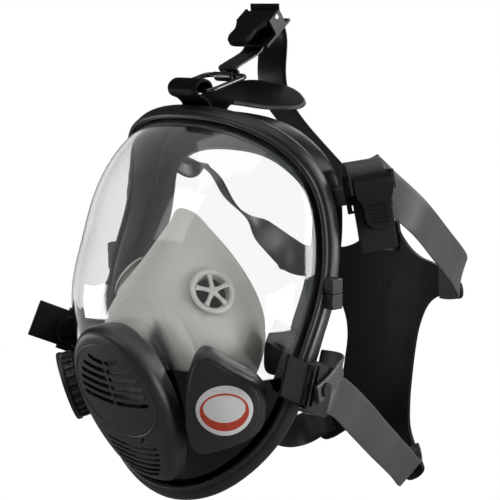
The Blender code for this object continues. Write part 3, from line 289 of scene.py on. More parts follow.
def shade(ob, angle):
    if not angle:
        return
    me = ob.data
    bm = bmesh.new()
    bm.from_mesh(me)
    lim = math.radians(angle)
    for f in bm.faces:
        f.smooth = True
    for e in bm.edges:
        e.smooth = not (len(e.link_faces) == 2 and e.calc_face_angle(0) > lim)
    bm.to_mesh(me)
    bm.free()


def boolean(ob, cutters, op='DIFFERENCE', smooth=35):
    """Runs the cutters on the body and takes them away again."""
    for c in cutters:
        c.hide_render = True
        c.display_type = 'WIRE'
        m = ob.modifiers.new('cut', 'BOOLEAN')
        m.operation = op
        m.solver = 'EXACT'
        m.object = c
    bpy.context.view_layer.update()
    dg = bpy.context.evaluated_depsgraph_get()
    me = bpy.data.meshes.new_from_object(ob.evaluated_get(dg))
    me.name = ob.name
    old = ob.data
    mats = [m for m in old.materials]
    ob.modifiers.clear()
    ob.data = me
    if len(me.materials) > 1 or not len(me.materials):
        me.materials.clear()
        for m in mats[:1]:
            me.materials.append(m)
    for p in me.polygons:
        p.material_index = 0
    for c in cutters:
        bpy.data.objects.remove(c, do_unlink=True)
    bm = bmesh.new()
    bm.from_mesh(me)
    bmesh.ops.remove_doubles(bm, verts=bm.verts, dist=0.000005)
    bmesh.ops.dissolve_degenerate(bm, edges=bm.edges, dist=0.000005)
    bm.to_mesh(me)
    bm.free()
    shade(ob, smooth)
    return ob


def grid_faces(rows, cols, close_rows, close_cols, base=0):
    f = []
    for i in range(rows if close_rows else rows - 1):
        for j in range(cols if close_cols else cols - 1):
            a = base + i * cols + j
            b = base + i * cols + (j + 1) % cols
            c = base + (i + 1) % rows * cols + (j + 1) % cols
            d = base + (i + 1) % rows * cols + j
            f.append((a, b, c, d))
    return f


def swept(name, sections, closed, mat, smooth=35, origin=None):
    """sections: rows x points x 3, every row a closed outline."""
    S = np.asarray(sections, float)
    n, m, _ = S.shape
    faces = grid_faces(n, m, closed, True)
    if not closed:
        faces.append(tuple(range(m)))
        faces.append(tuple(n * m - 1 - j for j in range(m)))
    return new_object(name, S.reshape(-1, 3), faces, mat, smooth, origin)


def basis(axis, up=(0, 0, 1)):
    a = nv(axis)
    e1 = np.cross(up, a)
    if np.linalg.norm(e1) < 1e-6:
        e1 = np.cross((1, 0, 0), a)
    e1 = nv(e1)
    return e1, np.cross(a, e1), a


def lathe(name, profile, centre, axis, mat, steps=32, smooth=35, origin=None):
    """profile: closed outline of (along axis, radius), none on the axis itself."""
    e1, e2, a = basis(axis)
    c = np.asarray(centre, float)
    rows = []
    for i in range(steps):
        t = 2 * math.pi * i / steps
        d = math.cos(t) * e1 + math.sin(t) * e2
        rows.append([c + w * a + r * d for w, r in profile])
    return swept(name, rows, True, mat, smooth, origin)


def disc(name, w0, w1, r, centre, axis, mat, steps=32, smooth=35, origin=None, bevel=0.0):
    e1, e2, a = basis(axis)
    c = np.asarray(centre, float)
    ws = [(w0, r), (w1, r)] if not bevel else [(w0, r - bevel), (w0 + bevel, r),
                                               (w1 - bevel, r), (w1, r - bevel)]
    rows = []
    for w, q in ws:
        rows.append([c + w * a + q * (math.cos(2 * math.pi * i / steps) * e1
                                      + math.sin(2 * math.pi * i / steps) * e2)
                     for i in range(steps)])
    return swept(name, rows, False, mat, smooth, origin)


def prism(name, outline, origin3, e1, e2, a, h0, h1, mat, smooth=35, bevel=0.0, origin=None):
    """outline of (e1, e2) pairs pushed from h0 to h1 along a; bevel draws the ends in."""
    P = np.asarray(outline, float)
    c = P.mean(0)
    o = np.asarray(origin3, float)
    e1, e2, a = (np.asarray(v, float) for v in (e1, e2, a))

    def row(h, inset):
        d = P - c
        L = np.linalg.norm(d, axis=1)[:, None]
        Q = c + d * (1 - inset / np.maximum(L, 1e-6))
        return [o + q[0] * e1 + q[1] * e2 + h * a for q in Q]
    if bevel:
        rows = [row(h0, bevel), row(h0 + bevel, 0), row(h1 - bevel, 0), row(h1, bevel)]
    else:
        rows = [row(h0, 0), row(h1, 0)]
    return swept(name, rows, False, mat, smooth, origin)


def box_local(name, fr, l0, l1, w0, w1, h0, h1, mat, smooth=0, origin=None):
    o, L, W, H = fr
    rows = [[o + l * L + w * W + h * H for w, h in ((w0, h0), (w1, h0), (w1, h1), (w0, h1))]
            for l in (l0, l1)]
    return swept(name, rows, False, mat, smooth, origin)


# --------------------------------------------------------------- the pieces
def make_lens(mat, steps=RIM_STEPS, rings=LENS_RINGS):
    R, U, N = rim_frames(steps)
    n, k = lens_nk(R[:, 0], R[:, 2])
    s_list = np.sin(np.linspace(0, math.pi / 2, rings + 1))[1:]
    outer, inner = [], []
    for s in s_list:
        X = s * R[:, 0]
        Z = LENS_POLE_Z + s * (R[:, 2] - LENS_POLE_Z)
        Y = LENS_FRONT_Y + lens_rise(s, n, k) / lens_rise(1.0, n, k) * (R[:, 1] - LENS_FRONT_Y)
        P = np.stack([X, Y, Z], 1)
        if s > 0.9999:
            NN = N
        else:
            NN = np.array([lens_normal(x, z) for x, z in zip(X, Z)])
        outer.append(P)
        inner.append(P - LENS_T * NN)
    outer.append(R + LENS_EDGE * U)
    inner.append(R + LENS_EDGE * U - LENS_T * N)
    rows = outer + inner[::-1]
    V = np.vstack(rows)
    m = steps
    faces = grid_faces(len(rows), m, False, True)
    pole_o, pole_i = len(V), len(V) + 1
    V = np.vstack([V, [[0, LENS_FRONT_Y, LENS_POLE_Z]],
                   [[0, LENS_FRONT_Y + LENS_T, LENS_POLE_Z]]])
    last = (len(rows) - 1) * m
    for j in range(m):
        faces.append((pole_o, (j + 1) % m, j))
        faces.append((pole_i, last + j, last + (j + 1) % m))
    return new_object('lens', V, faces, mat, 40)


def cutter_cyl(centre, axis, r, w0, w1, steps=32):
    return disc('cutter', w0, w1, r, centre, axis, None, steps, 0)


def seal_y(z):
    zz = [p[0] for p in SEAL_Y]
    yy = [p[1] for p in SEAL_Y]
    # smooth step between the table's points
    z = np.clip(z, zz[0], zz[-1])
    i = np.clip(np.searchsorted(zz, z, side='right') - 1, 0, len(zz) - 2)
    P = np.array(SEAL_Y, float)
    m = np.gradient(P[:, 1], P[:, 0])
    h = P[i + 1, 0] - P[i, 0]
    t = (z - P[i, 0]) / h
    return ((2 * t ** 3 - 3 * t ** 2 + 1) * P[i, 1] + (t ** 3 - 2 * t ** 2 + t) * h * m[i]
            + (-2 * t ** 3 + 3 * t ** 2) * P[i + 1, 1] + (t ** 3 - t ** 2) * h * m[i + 1])


def seal_curve(R):
    d = np.stack([R[:, 0], np.zeros(len(R)), R[:, 2] + 3], 1)
    d /= np.linalg.norm(d, axis=1)[:, None]
    S = R + SEAL_OUT * d
    S[:, 1] = seal_y(R[:, 2])
    chin = np.clip((-R[:, 2] - 70) / 45, 0, 1)
    S[:, 2] -= 6 * chin ** 2
    return S, -d


def make_blank(mat, steps=RIM_STEPS):
    R, U, N = rim_frames(steps)
    S, D = seal_curve(R)
    Y = np.array([0, 1.0, 0])
    rows = []
    for i in range(steps):
        r, u, n, s, d = R[i], U[i], N[i], S[i], D[i]
        sec = [r + a * u + b * n for a, b in BLANK_GROOVE]
        q0 = r + 10.9 * u - 3.4 * n
        q1 = r + 10.9 * u - 5.8 * n
        sec.append(q1)
        sec.append(q1 * 0.5 + (s + SKIRT_T * d) * 0.5 + 0.6 * -d)
        sec.append(s + SKIRT_T * d - 4.0 * Y)
        sec.append(s + 6.0 * d - 2.4 * Y)
        sec.append(s + (FLANGE_W * 0.6) * d - 3.4 * Y)
        sec.append(s + FLANGE_W * d - 7.0 * Y)
        sec.append(s + (FLANGE_W + 0.8) * d - 6.4 * Y)
        sec.append(s + (FLANGE_W * 0.6) * d - 1.6 * Y)
        sec.append(s + 6.0 * d + 0.0 * Y)
        sec.append(s + 1.2 * d - 0.8 * Y)
        sec.append(s - 4.0 * Y)
        sec.append(q0 * 0.5 + s * 0.5 - 0.6 * d)
        sec.append(q0)
        sec += [r + 7.3 * u - 3.4 * n, r + 7.3 * u + 1.8 * n, r - 0.8 * u + 1.8 * n]
        rows.append(sec)
    return swept('face_blank', rows, True, mat, 40)


def make_frame(name, upper, mat, steps=RIM_STEPS):
    """One half of the clamp frame, from the parting plane round to the other side."""
    fine = 4 * steps
    R, U, N = rim_frames(fine)
    if upper:
        idx = [i for i in range(fine) if R[i, 2] > FRAME_SPLIT_Z]
        start = next(i for i in range(fine)
                     if R[i, 2] > FRAME_SPLIT_Z and R[i - 1, 2] <= FRAME_SPLIT_Z)
    else:
        idx = [i for i in range(fine) if R[i, 2] < FRAME_SPLIT_Z]
        start = next(i for i in range(fine)
                     if R[i, 2] < FRAME_SPLIT_Z and R[i - 1, 2] >= FRAME_SPLIT_Z)
    run = [(start + k) % fine for k in range(len(idx))]
    keep = run[::4]
    if keep[-1] != run[-1]:
        keep.append(run[-1])

    rows = []
    for q, i in enumerate(keep):
        sec = np.array([R[i] + a * U[i] + b * N[i] for a, b in FRAME_SEC])
        rows.append(sec)
    # the two end rows are laid on the parting plane
    zc = FRAME_SPLIT_Z + (FRAME_SPLIT_GAP / 2 if upper else -FRAME_SPLIT_GAP / 2)
    for e, nb in ((0, 1), (-1, -2)):
        d = rows[e] - rows[nb]
        t = (zc - rows[e][:, 2]) / np.where(np.abs(d[:, 2]) < 1e-6, 1e-6, d[:, 2])
        rows[e] = rows[e] + d * t[:, None]
    return swept(name, rows, False, mat, 40)


def boss_frame(side):
    """Place of the clamp screw on one side: origin, tangent up, out of the lens edge."""
    R, U, N = rim_frames(720)
    best = min(range(720), key=lambda i: abs(R[i, 2] - FRAME_SPLIT_Z)
               + (0 if R[i, 0] * side > 0 else 1000))
    r, u, n = R[best], U[best], N[best]
    z = np.array([0, 0, 1.0])
    n = nv(n - n.dot(z) * z)
    u = nv(np.cross(z, n))
    if u[1] < 0:
        u = -u
    o = r + 5.2 * u
    o[2] = FRAME_SPLIT_Z
    return o, u, n, z


def port_axis():
    return lens_normal(*PORT_XZ, 3.0)


def pod_outline(steps):
    P = closed_spline([(x, z) for x, z in POD], steps)
    return P


def pod_rows(steps, scale_heights, mirror=False):
    """Rows of the blanking cover: (scale about its middle, height off the lens)."""
    P = pod_outline(steps)
    c = P.mean(0)
    a = port_axis()
    rows = []
    for s, h in scale_heights:
        Q = c + (P - c) * s
        rows.append([lens_point(x, z) + h * a for x, z in Q])
    return rows


def capped(name, rows, mat, smooth=35, origin=None):
    """Rings from one pole to the other: both ends shut with a flat face."""
    return swept(name, rows, False, mat, smooth, origin)


def plate_y(x, z):
    d = PLATE[1] - z
    return PLATE[0] + PLATE[2] * d + PLATE[3] * np.maximum(d, 0) ** 2 + PLATE[4] * x * x


def cover_outline(steps, inset=0.0):
    out = []
    for i in range(steps):
        t = 2 * math.pi * i / steps
        c, s = math.cos(t), math.sin(t)
        if s >= 0:
            x = (COVER_HALF - inset) * np.sign(c) * abs(c) ** 0.95
            z = (COVER_TOP - inset) * s ** 0.95
        else:
            x = (COVER_HALF - inset) * np.sign(c) * abs(c) ** 0.62
            z = -(COVER_BOTTOM - inset) * abs(s) ** 1.05
        z += COVER_C[1]
        # the egg draws in towards the chin
        low = max(0.0, (-66 - z) / 40.0)
        x *= 1 - 0.12 * low ** 1.2
        out.append((x, z))
    return np.array(out)


def cover_surface(O, lam, lift, yinset):
    """Ring at part lam of the outline; lift 0 at the lens, 1 on the plate."""
    c = np.array(COVER_C)
    Q = c + (O - c) * lam
    B = c + (O - c) * 1.0
    base = np.array([lens_y(x, z) for x, z in B]) - 0.7
    top = plate_y(Q[:, 0], Q[:, 1]) + yinset
    top = np.minimum(top, base - 3.0 + yinset)
    y = base * (1 - lift) + top * lift
    return np.stack([Q[:, 0], y, Q[:, 1]], 1)


COVER_PROFILE = [(1.0, 0.0), (1.0, 0.42), (0.975, 0.74), (0.92, 0.93), (0.83, 1.0),
                 (0.5, 1.0), (0.2, 1.0)]


def make_cover(mat, steps=36):
    O = cover_outline(steps)
    I = cover_outline(steps, COVER_T)
    outer = [cover_surface(O, lam, lift, 0.0) for lam, lift in COVER_PROFILE]
    inner = [cover_surface(I, lam, lift, COVER_T) for lam, lift in COVER_PROFILE]
    rows = outer[::-1] + inner
    return capped('front_cover', rows, mat, 40)


def slot_cutter(z0, x0, x1, sag, half, tilt=0.0):
    """A curved bar standing through the plate; its middle hangs lower than its ends."""
    rows = []
    n = 5
    for i in range(n):
        t = i / (n - 1)
        x = x0 + (x1 - x0) * t
        m = max(abs(x0), abs(x1))
        z = z0 + sag * ((x / m) ** 2) + tilt * x
        y = plate_y(x, z)
        rows.append([(x, y - 6, z - half), (x, y - 6, z + half), (x, y + 5, z + half),
                     (x, y + 5, z - half)])
    return swept('cutter', rows, False, None, 0)


def cover_slots():
    out = []
    for z, w in UPPER_SLOTS:
        out.append(slot_cutter(z, -w, -1.0, 3.0, 1.25))
        out.append(slot_cutter(z, 1.0, w, 3.0, 1.25))
    for z, w in LOWER_SLOTS:
        out.append(slot_cutter(z, -w, w, 2.4, 0.95))
    return out


def half_mask_point(t, ph_rear, ph_front):
    a = ph_rear * (1 - t) + ph_front * t
    out = nv((a[0], 0.0, a[2] + 20))
    # the cheeks stay full, the bridge runs straight to the front
    side = abs(out[0])
    b = 9.0 * math.sin(math.pi * t) * (0.35 + 0.65 * side)
    return a + b * out


def half_mask_surface(steps, rings, inset=0.0):
    rear = closed_spline(mirrored(HM_REAR), steps)
    cx, cz, hx, hz = HM_FRONT
    # same angular places as the rear outline
    d = rear[:, [0, 2]] - np.array([0, -14.0])
    ang = np.arctan2(d[:, 1] / 66.0, d[:, 0] / 47.0)
    front = []
    for a in ang:
        x, z = cx + hx * math.cos(a), cz + hz * math.sin(a)
        n = lens_normal(x, z)
        front.append(lens_point(x, z) - (LENS_T + 0.9) * n)
    front = np.array(front)
    rows = []
    for j in range(rings + 1):
        t = j / rings
        rows.append([half_mask_point(t, rear[i], front[i]) for i in range(steps)])
    return np.array(rows)


def surface_normals(G, centre):
    """Normals of a grid closed along its second direction, pointing off centre."""
    du = np.gradient(G, axis=0)
    dv = (np.roll(G, -1, 1) - np.roll(G, 1, 1)) * 0.5
    n = np.cross(du, dv)
    n /= np.maximum(np.linalg.norm(n, axis=2), 1e-9)[:, :, None]
    flip = (n * (G - centre)).sum(2) < 0
    n[flip] *= -1
    return n


HM_CENTRE = np.array([0, -55.0, -25.0])


def make_half_mask(mat, steps=HM_STEPS, rings=HM_RINGS):
    G = half_mask_surface(steps, rings)
    n = surface_normals(G, HM_CENTRE)
    inner = G - HM_T * n
    rows = list(G) + list(inner[::-1])
    S = np.array(rows)
    faces = grid_faces(len(rows), steps, True, True)
    return new_object('half_mask', S.reshape(-1, 3), faces, mat, 50)


def valve_place(side):
    G = half_mask_surface(160, 60)
    n = surface_normals(G, HM_CENTRE)
    target = np.array(VALVE_AT, float) * np.array([side, 1, 1])
    d = np.linalg.norm(G - target, axis=2)
    i, j = np.unravel_index(np.argmin(d), d.shape)
    # mean normal over the seat
    near = np.linalg.norm(G - G[i, j], axis=2) < VALVE_R
    return G[i, j], nv(n[near].mean(0))


def strip(name, path, widths, side_dirs, thick, mat, smooth=35, origin=None):
    """A flat band: path points, half widths, width directions."""
    P = np.asarray(path, float)
    T = np.gradient(P, axis=0)
    rows = []
    for i in range(len(P)):
        w = nv(side_dirs[i] - np.dot(side_dirs[i], nv(T[i])) * nv(T[i]))
        n = np.cross(nv(T[i]), w)
        h, k = widths[i], thick / 2
        rows.append([P[i] - h * w - k * n, P[i] + h * w - k * n,
                     P[i] + h * w + k * n, P[i] - h * w + k * n])
    return swept(name, rows, False, mat, smooth, origin)


def band(name, knots, steps, width, thick, mat, smooth=35, origin=None):
    """knots: (point, width direction); both run smoothly along the band."""
    K = np.array([list(p) + list(nv(w)) for p, w in knots], float)
    Q = open_spline(K, steps)
    return strip(name, Q[:, :3], [width / 2] * steps, Q[:, 3:6], thick, mat, smooth, origin)


# buckle frames: origin at the strap's place under the cam, L towards the strap's run
# from the harness, H to the lever's side, W along the pin
def buckle_frame(origin, L, H):
    L = nv(L)
    H = np.asarray(H, float)
    H = nv(H - H.dot(L) * L)
    W = np.cross(L, H)
    return np.asarray(origin, float), L, W, H


def mirror_frame(fr):
    o, L, W, H = fr
    m = np.array([-1.0, 1, 1])
    return o * m, L * m, np.cross(L * m, H * m), H * m


TEMPLE = buckle_frame((94.5, 3.5, 69.5), (-0.204, -0.036, 0.978), (0.82, -0.55, 0.15))
LOWER = buckle_frame((104.6, -51.0, -42.0), (-0.10, 0.90, -0.42), (-0.98, -0.14, -0.02))
TOP = buckle_frame((0.0, 15.4, 160.0), (0.0, 0.793, 0.609), (0.0, -0.609, 0.793))
FRAMES = {'temple_right': TEMPLE, 'temple_left': mirror_frame(TEMPLE), 'lower_right': LOWER,
          'lower_left': mirror_frame(LOWER), 'top': TOP}

PIN_H = 8.2
PIN_R = 1.4
CAM_R = 3.6


def make_buckle(tag, fr, mat, mat_pin, mat_lever, lever_len=30.0):
    o, L, W, H = fr
    pin_c = o + PIN_H * H + 4.0 * L
    # body: base plate with a slot for the lug, two cheeks for the pin
    top = tag == 'top'
    body = box_local('buckle_body_' + tag, fr, -14.0, 13.0 if top else 9.0, -14.2, 14.2, -1.8, 0.0,
                     mat)
    cheeks = [box_local('c', fr, -3.0, 8.5, s * 14.2 - (1.7 if s > 0 else 0.0),
                        s * 14.2 + (0.0 if s > 0 else 1.7), -1.0, 10.6, mat) for s in (1, -1)]
    boolean(body, cheeks, 'UNION')
    cuts = [cutter_cyl(pin_c, W, PIN_R + GAP, -20, 20, 20)]
    if top:
        cuts.append(box_local('s', fr, 6.2, 9.8, -12.5, 12.5, -4.0, 3.0, None))
    else:
        cuts.append(box_local('s', fr, -12.4, -9.2, -11.6, 11.6, -4.0, 3.0, None))
    cuts.append(cutter_cyl(o - (7.0 if top else 3.0) * L, H, 2.7 + GAP, -8, 3, 16))
    boolean(body, cuts)
    pin = disc('buckle_pin_' + tag, -14.2, 14.2, PIN_R, pin_c, W, mat_pin, 16)
    # lever: cam round the pin and a thumb tab reaching back over the tail
    cam = disc('buckle_lever_' + tag, -12.1, 12.1, CAM_R, pin_c, W, mat_lever, 24, 35, pin_c)
    n = 12
    outline = [(0.0, -12.0), (-7.0, -12.0), (-12.0, -9.8), (-17.0, -8.2),
               (-lever_len + 9, -8.8)]
    for i in range(n + 1):
        t = math.pi * (-0.5 - i / n)
        outline.append((-lever_len + 9 + 9.0 * math.cos(t), 8.8 * math.sin(t)))
    outline += [(-17.0, 8.2), (-12.0, 9.8), (-7.0, 12.0), (0.0, 12.0)]
    seen = []
    for p in outline:
        if not seen or np.linalg.norm(np.array(p) - np.array(seen[-1])) > 0.05:
            seen.append(p)
    tab = prism('t', seen, pin_c, L, W, H, -0.3, 3.4, mat_lever, 35)
    boolean(cam, [tab], 'UNION')
    bore = cutter_cyl(pin_c, W, PIN_R + GAP, -20, 20, 20)
    boolean(cam, [bore])
    return pin_c


def pad_y(x):
    return PAD_Y - PAD_BEND * x * x


def pad_shift(x, z):
    """The slack pad hangs a little to one side below its middle."""
    t = min(max((-60 - z) / 60, 0), 1.6)
    return x - 7 * t, z - 0.14 * x * t


def pad_outline():
    full = PAD + [(-x, z) for x, z in PAD[::-1] if x > 0]
    return [pad_shift(x, z) for x, z in full]


def tab_path(n):
    lean = nv((1, 0, -0.42))
    X = (1, 0, 0)
    K = open_spline(np.array([list(p) + list(nv(w)) for p, w in
                              [((1, -35.5, 112.8), X), ((1, -31.0, 118.0), X),
                               ((4, -20.0, 121.0), nv((1, 0, -0.2))), ((13, -2.0, 121.2), lean),
                               ((21, 13.0, 119.8), lean), ((26.5, 24.0, 118.4), lean)]]), n)
    hw = []
    for i in range(n):
        t = i / (n - 1)
        a = 15.0 + 3.0 * min(1, t / 0.4)
        hw.append(a if t < 0.76 else max(4.0, a * math.sqrt(max(0.0, 1 - ((t - 0.76) / 0.25) ** 2))))
    return K[:, :3], hw, K[:, 3:6]


def ring_path(seg):
    c, h = TONGUE_X, RING_HALF
    pts = [(c + h, -46.3, 125.6), (c - h, -46.3, 125.6), (c - h, -15.0, 133.0),
           (c + h, -15.0, 133.0)]
    C = []
    for i in range(4):
        p, a, b = (np.array(pts[k % 4], float) for k in (i, i + 3, i + 1))
        for t in np.linspace(0, 1, seg):
            C.append((p + 5.0 * nv(a - p)) * (1 - t) ** 2 + 2 * p * t * (1 - t)
                     + (p + 5.0 * nv(b - p)) * t ** 2)
    nrm = nv(np.cross(np.array(pts[1], float) - pts[0], np.array(pts[2], float) - pts[1]))
    return np.array(C), nrm


def lug_path(place, s):
    """Strip from the side of the mask to the back of the buckle's base plate."""
    o, L, W, H = FRAMES[place + ('_right' if s > 0 else '_left')]
    W = W if W[1] > 0 else -W

    def at(l, w, h):
        return o + l * L + w * W + h * H
    if place == 'temple':
        P = [at(-3, 6, -3.6), at(-3, -4, -3.6), at(-3, -12.5, -3.7), at(-3, -16.5, -4.6),
             at(-3, -18.4, -6.4)]
        return P, [L] * len(P)
    P = [at(-9, -4.5, -3.6), at(-3, 0, -3.6), at(4, 6.5, -3.6), at(9, 13, -3.6),
         at(11.6, 18.2, -2.6), at(12.5, 19.8, 2), at(12.5, 20, 8), at(12.5, 20, 12.6)]
    d = nv(0.76 * W - 0.65 * L)
    return P, [d, d, d, nv(0.85 * W - 0.5 * L), nv(W - 0.25 * L), W, W, W]


def link_path():
    """Bent plate from the rear bar of the ring up to the front of the top buckle."""
    o, L, W, H = FRAMES['top']
    c = np.array([TONGUE_X, -15.0, 133.0])
    P = [c + np.array([0, -3.5, 2.2]), c + np.array([0, -3.0, -1.5]), c + np.array([0, 0, -3.2]),
         c + np.array([0, 3.0, -1.0]), c + np.array([0.2, 3.0, 2.4]),
         c + np.array([0.5, 1.5, 5.2]), o - 18.0 * L - 3.8 * H,
         o - 12.0 * L - 3.5 * H, o - 1.5 * L - 3.5 * H]
    return P, [(1, 0, 0)] * len(P)


STRAP_TAGS = ('temple_right', 'temple_left', 'lower_right', 'lower_left', 'top')


def strap_knots(tag):
    """(point, width direction) from the pad end to the tail end."""
    o, L, W, H = FRAMES[tag]
    s = -1 if tag.endswith('left') else 1
    m = np.array([s, 1.0, 1.0])
    if W[1] * 1.0 < 0 and tag != 'top':
        W = -W

    def at(l, h, w=0.0):
        return o + l * L + h * H + w * W

    def world(x, y, z):
        return np.array([x, y, z], float) * m
    if tag == 'top':
        X = (1, 0, 0)
        return [((0, pad_y(12) - 1.9, 2), X), ((0, pad_y(12) - 2.6, 14), X), ((0, 138, 27), X),
                ((0, 112, 49), X), ((0, 83, 71), X), ((0, 47, 99), X), ((0, 30.5, 116), X),
                ((0, 25.0, 132), X), (at(4.0, -12.5), X), (at(8.0, -4), X), (at(8.0, 3), X),
                (at(9.8, 8), X), (at(11.2, 10), X), (at(12.4, 12), X)]
    if tag.startswith('temple'):
        y = pad_y(64)
        Z = (0, 0, 1)
        up = nv((0, 0.1, 1.0)) * m
        dg = nv((0.0, 0.62, 0.78)) * m
        flat = np.array([0.95, 0.30, -0.17]) * m
        far = [(world(79, 108.5, 10), nv(up + 0.5 * flat)), (world(88, 98, 23), nv(0.5 * dg + flat)),
               (world(94.5, 86.6, 36), nv(0.35 * dg + flat)),
               (world(98, 73.5, 56), nv(0.3 * dg + flat)), (world(99, 55, 67), nv(0.3 * dg + flat))]
        near = [(world(82, pad_y(82) - 4.0, -6), up), (world(91, 110, 4), dg),
                (world(97, 78, 26), dg), (world(99, 50, 47), dg)]
        return [(world(58, pad_y(58) - 2.6, -12), Z), (world(68, pad_y(68) - 3.4, -10.5), Z)] + (
            near if s > 0 else far) + [
                (at(-2, -21, 18), nv(dg + 0.6 * W) if s > 0 else nv(0.4 * dg + 0.6 * W + 0.8 * flat)), (at(10, -13, 5), nv(0.4 * dg + W)),
                (at(15.5, -6, 0), W), (at(15.5, 0.5), W), (at(11, 3.0), W), (at(0, 3.15), W),
                (at(-12, 3.6), W), (at(-24, 3.8), W), (at(-38, 2.6), W)]
    e = np.array([0.2, 0.6, 0.78]) * m
    tx, tz = (33.0, -150.0) if s > 0 else (48.0, -133.0)
    px, pz = (26.0, -142.0) if s > 0 else (42.0, -128.0)
    w2 = nv(np.array([0.6, 0.2, 0.7]) * m)
    return [(world(px, pad_y(px) - 3.6, pz), w2), (world(tx, pad_y(tx) - 5.4, tz), w2),
            (world(46 if s > 0 else 55, 122, -150 if s > 0 else -139), nv(w2 + e)),
            (world(56, 95, -132), e), (world(71, 52, -104), e), (world(85, 14, -79), e),
            (at(24, 0.5), nv(0.5 * e + W)), (at(12, 3.0), W), (at(0, 3.15), W), (at(-12, 3.4), W),
            (at(-24, 3.0), W), (at(-40, 1.0), W)]



# ======================================================================
# The looks.  Everything above repeats the surfaces of the CAD part; from
# here on they are drawn finer and given their materials.
# ======================================================================
SCENE = bpy.context.scene
RECORD = frame['record']
BODY = {n: b for b, ns in RECORD['behaviour']['bodies'].items() for n in ns}


def stands_for(ob, *cad):
    """The fine piece takes the place of its CAD solids and moves with them."""
    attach(ob, BODY[cad[0]])
    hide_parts(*cad)
    return ob


def extra(ob, cad):
    """A further detail on a CAD piece."""
    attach(ob, BODY[cad])
    return ob


# ------------------------------------------------------------- shading
def node(nt, kind, **kw):
    n = nt.nodes.new(kind)
    for k, v in kw.items():
        if k.startswith('_'):
            setattr(n, k[1:], v)
        else:
            n.inputs[k.replace('__', ' ')].default_value = v
    return n


def ramp(nt, fac, stops):
    r = nt.nodes.new('ShaderNodeValToRGB')
    nt.links.new(fac, r.inputs[0])
    e = r.color_ramp.elements
    while len(e) < len(stops):
        e.new(0.5)
    for i, (p, c) in enumerate(stops):
        e[i].position = p
        e[i].color = (*c, 1) if len(c) == 3 else c
    return r.outputs[0]


def noise(nt, scale, detail=2.0, rough=0.5, vec=None):
    n = node(nt, 'ShaderNodeTexNoise', Scale=scale, Detail=detail, Roughness=rough)
    if vec is None:
        tc = nt.nodes.new('ShaderNodeTexCoord')
        vec = tc.outputs['Object']
    nt.links.new(vec, n.inputs['Vector'])
    return n.outputs['Fac']


def maprange(nt, val, a, b, c, d):
    m = node(nt, 'ShaderNodeMapRange')
    m.inputs['From Min'].default_value = a
    m.inputs['From Max'].default_value = b
    m.inputs['To Min'].default_value = c
    m.inputs['To Max'].default_value = d
    nt.links.new(val, m.inputs['Value'])
    return m.outputs['Result']


def maths(nt, op, a, b=None, c=None):
    m = nt.nodes.new('ShaderNodeMath')
    m.operation = op
    for i, v in enumerate((a, b, c)):
        if v is None:
            continue
        if isinstance(v, (int, float)):
            m.inputs[i].default_value = v
        else:
            nt.links.new(v, m.inputs[i])
    return m.outputs[0]


def mixcol(nt, fac, a, b):
    m = nt.nodes.new('ShaderNodeMix')
    m.data_type = 'RGBA'
    if isinstance(fac, (int, float)):
        m.inputs[0].default_value = fac
    else:
        nt.links.new(fac, m.inputs[0])
    for i, v in ((6, a), (7, b)):
        if isinstance(v, tuple):
            m.inputs[i].default_value = (*v, 1)
        else:
            nt.links.new(v, m.inputs[i])
    return m.outputs[2]


def skin(name, colour, rough, var=0.15, grain=2500.0, bump=0.12, spread=60.0, metal=0.0,
         spec=0.5, coat=0.0, sheen=0.0, wear=0.0, rough_var=0.06, big_bump=0.0):
    """Moulded plastic, rubber or metal: mottled colour, uneven gloss, fine grain."""
    m = bpy.data.materials.new(name)
    m.use_nodes = True
    nt = m.node_tree
    b = nt.nodes['Principled BSDF']
    lo = tuple(max(0.0, c * (1 - var)) for c in colour)
    hi = tuple(min(1.0, c * (1 + var)) for c in colour)
    f = noise(nt, spread, 3.0, 0.55)
    col = ramp(nt, f, [(0.3, lo), (0.7, hi)])
    if wear > 0:
        geo = nt.nodes.new('ShaderNodeNewGeometry')
        w = maprange(nt, geo.outputs['Pointiness'], 0.52, 0.60, 0.0, wear)
        k = maths(nt, 'MULTIPLY', w, maprange(nt, noise(nt, 350.0, 4.0, 0.6), 0.35, 0.65, 0.2, 1.0))
        col = mixcol(nt, k, col, tuple(min(1.0, c * 3 + 0.08) for c in colour))
    nt.links.new(col, b.inputs['Base Color'])
    r = maprange(nt, noise(nt, spread * 2.3, 3.0, 0.6), 0.3, 0.7, max(0.02, rough - rough_var),
                 min(1.0, rough + rough_var))
    nt.links.new(r, b.inputs['Roughness'])
    b.inputs['Metallic'].default_value = metal
    b.inputs['Specular IOR Level'].default_value = spec
    b.inputs['Coat Weight'].default_value = coat
    b.inputs['Coat Roughness'].default_value = 0.15
    b.inputs['Sheen Weight'].default_value = sheen
    bp = node(nt, 'ShaderNodeBump', Strength=bump, Distance=0.0002)
    g = noise(nt, grain, 2.0, 0.6)
    if big_bump > 0:
        g = maths(nt, 'ADD', g, maths(nt, 'MULTIPLY', noise(nt, 120.0, 2.0, 0.5), big_bump))
    nt.links.new(g, bp.inputs['Height'])
    nt.links.new(bp.outputs['Normal'], b.inputs['Normal'])
    return m


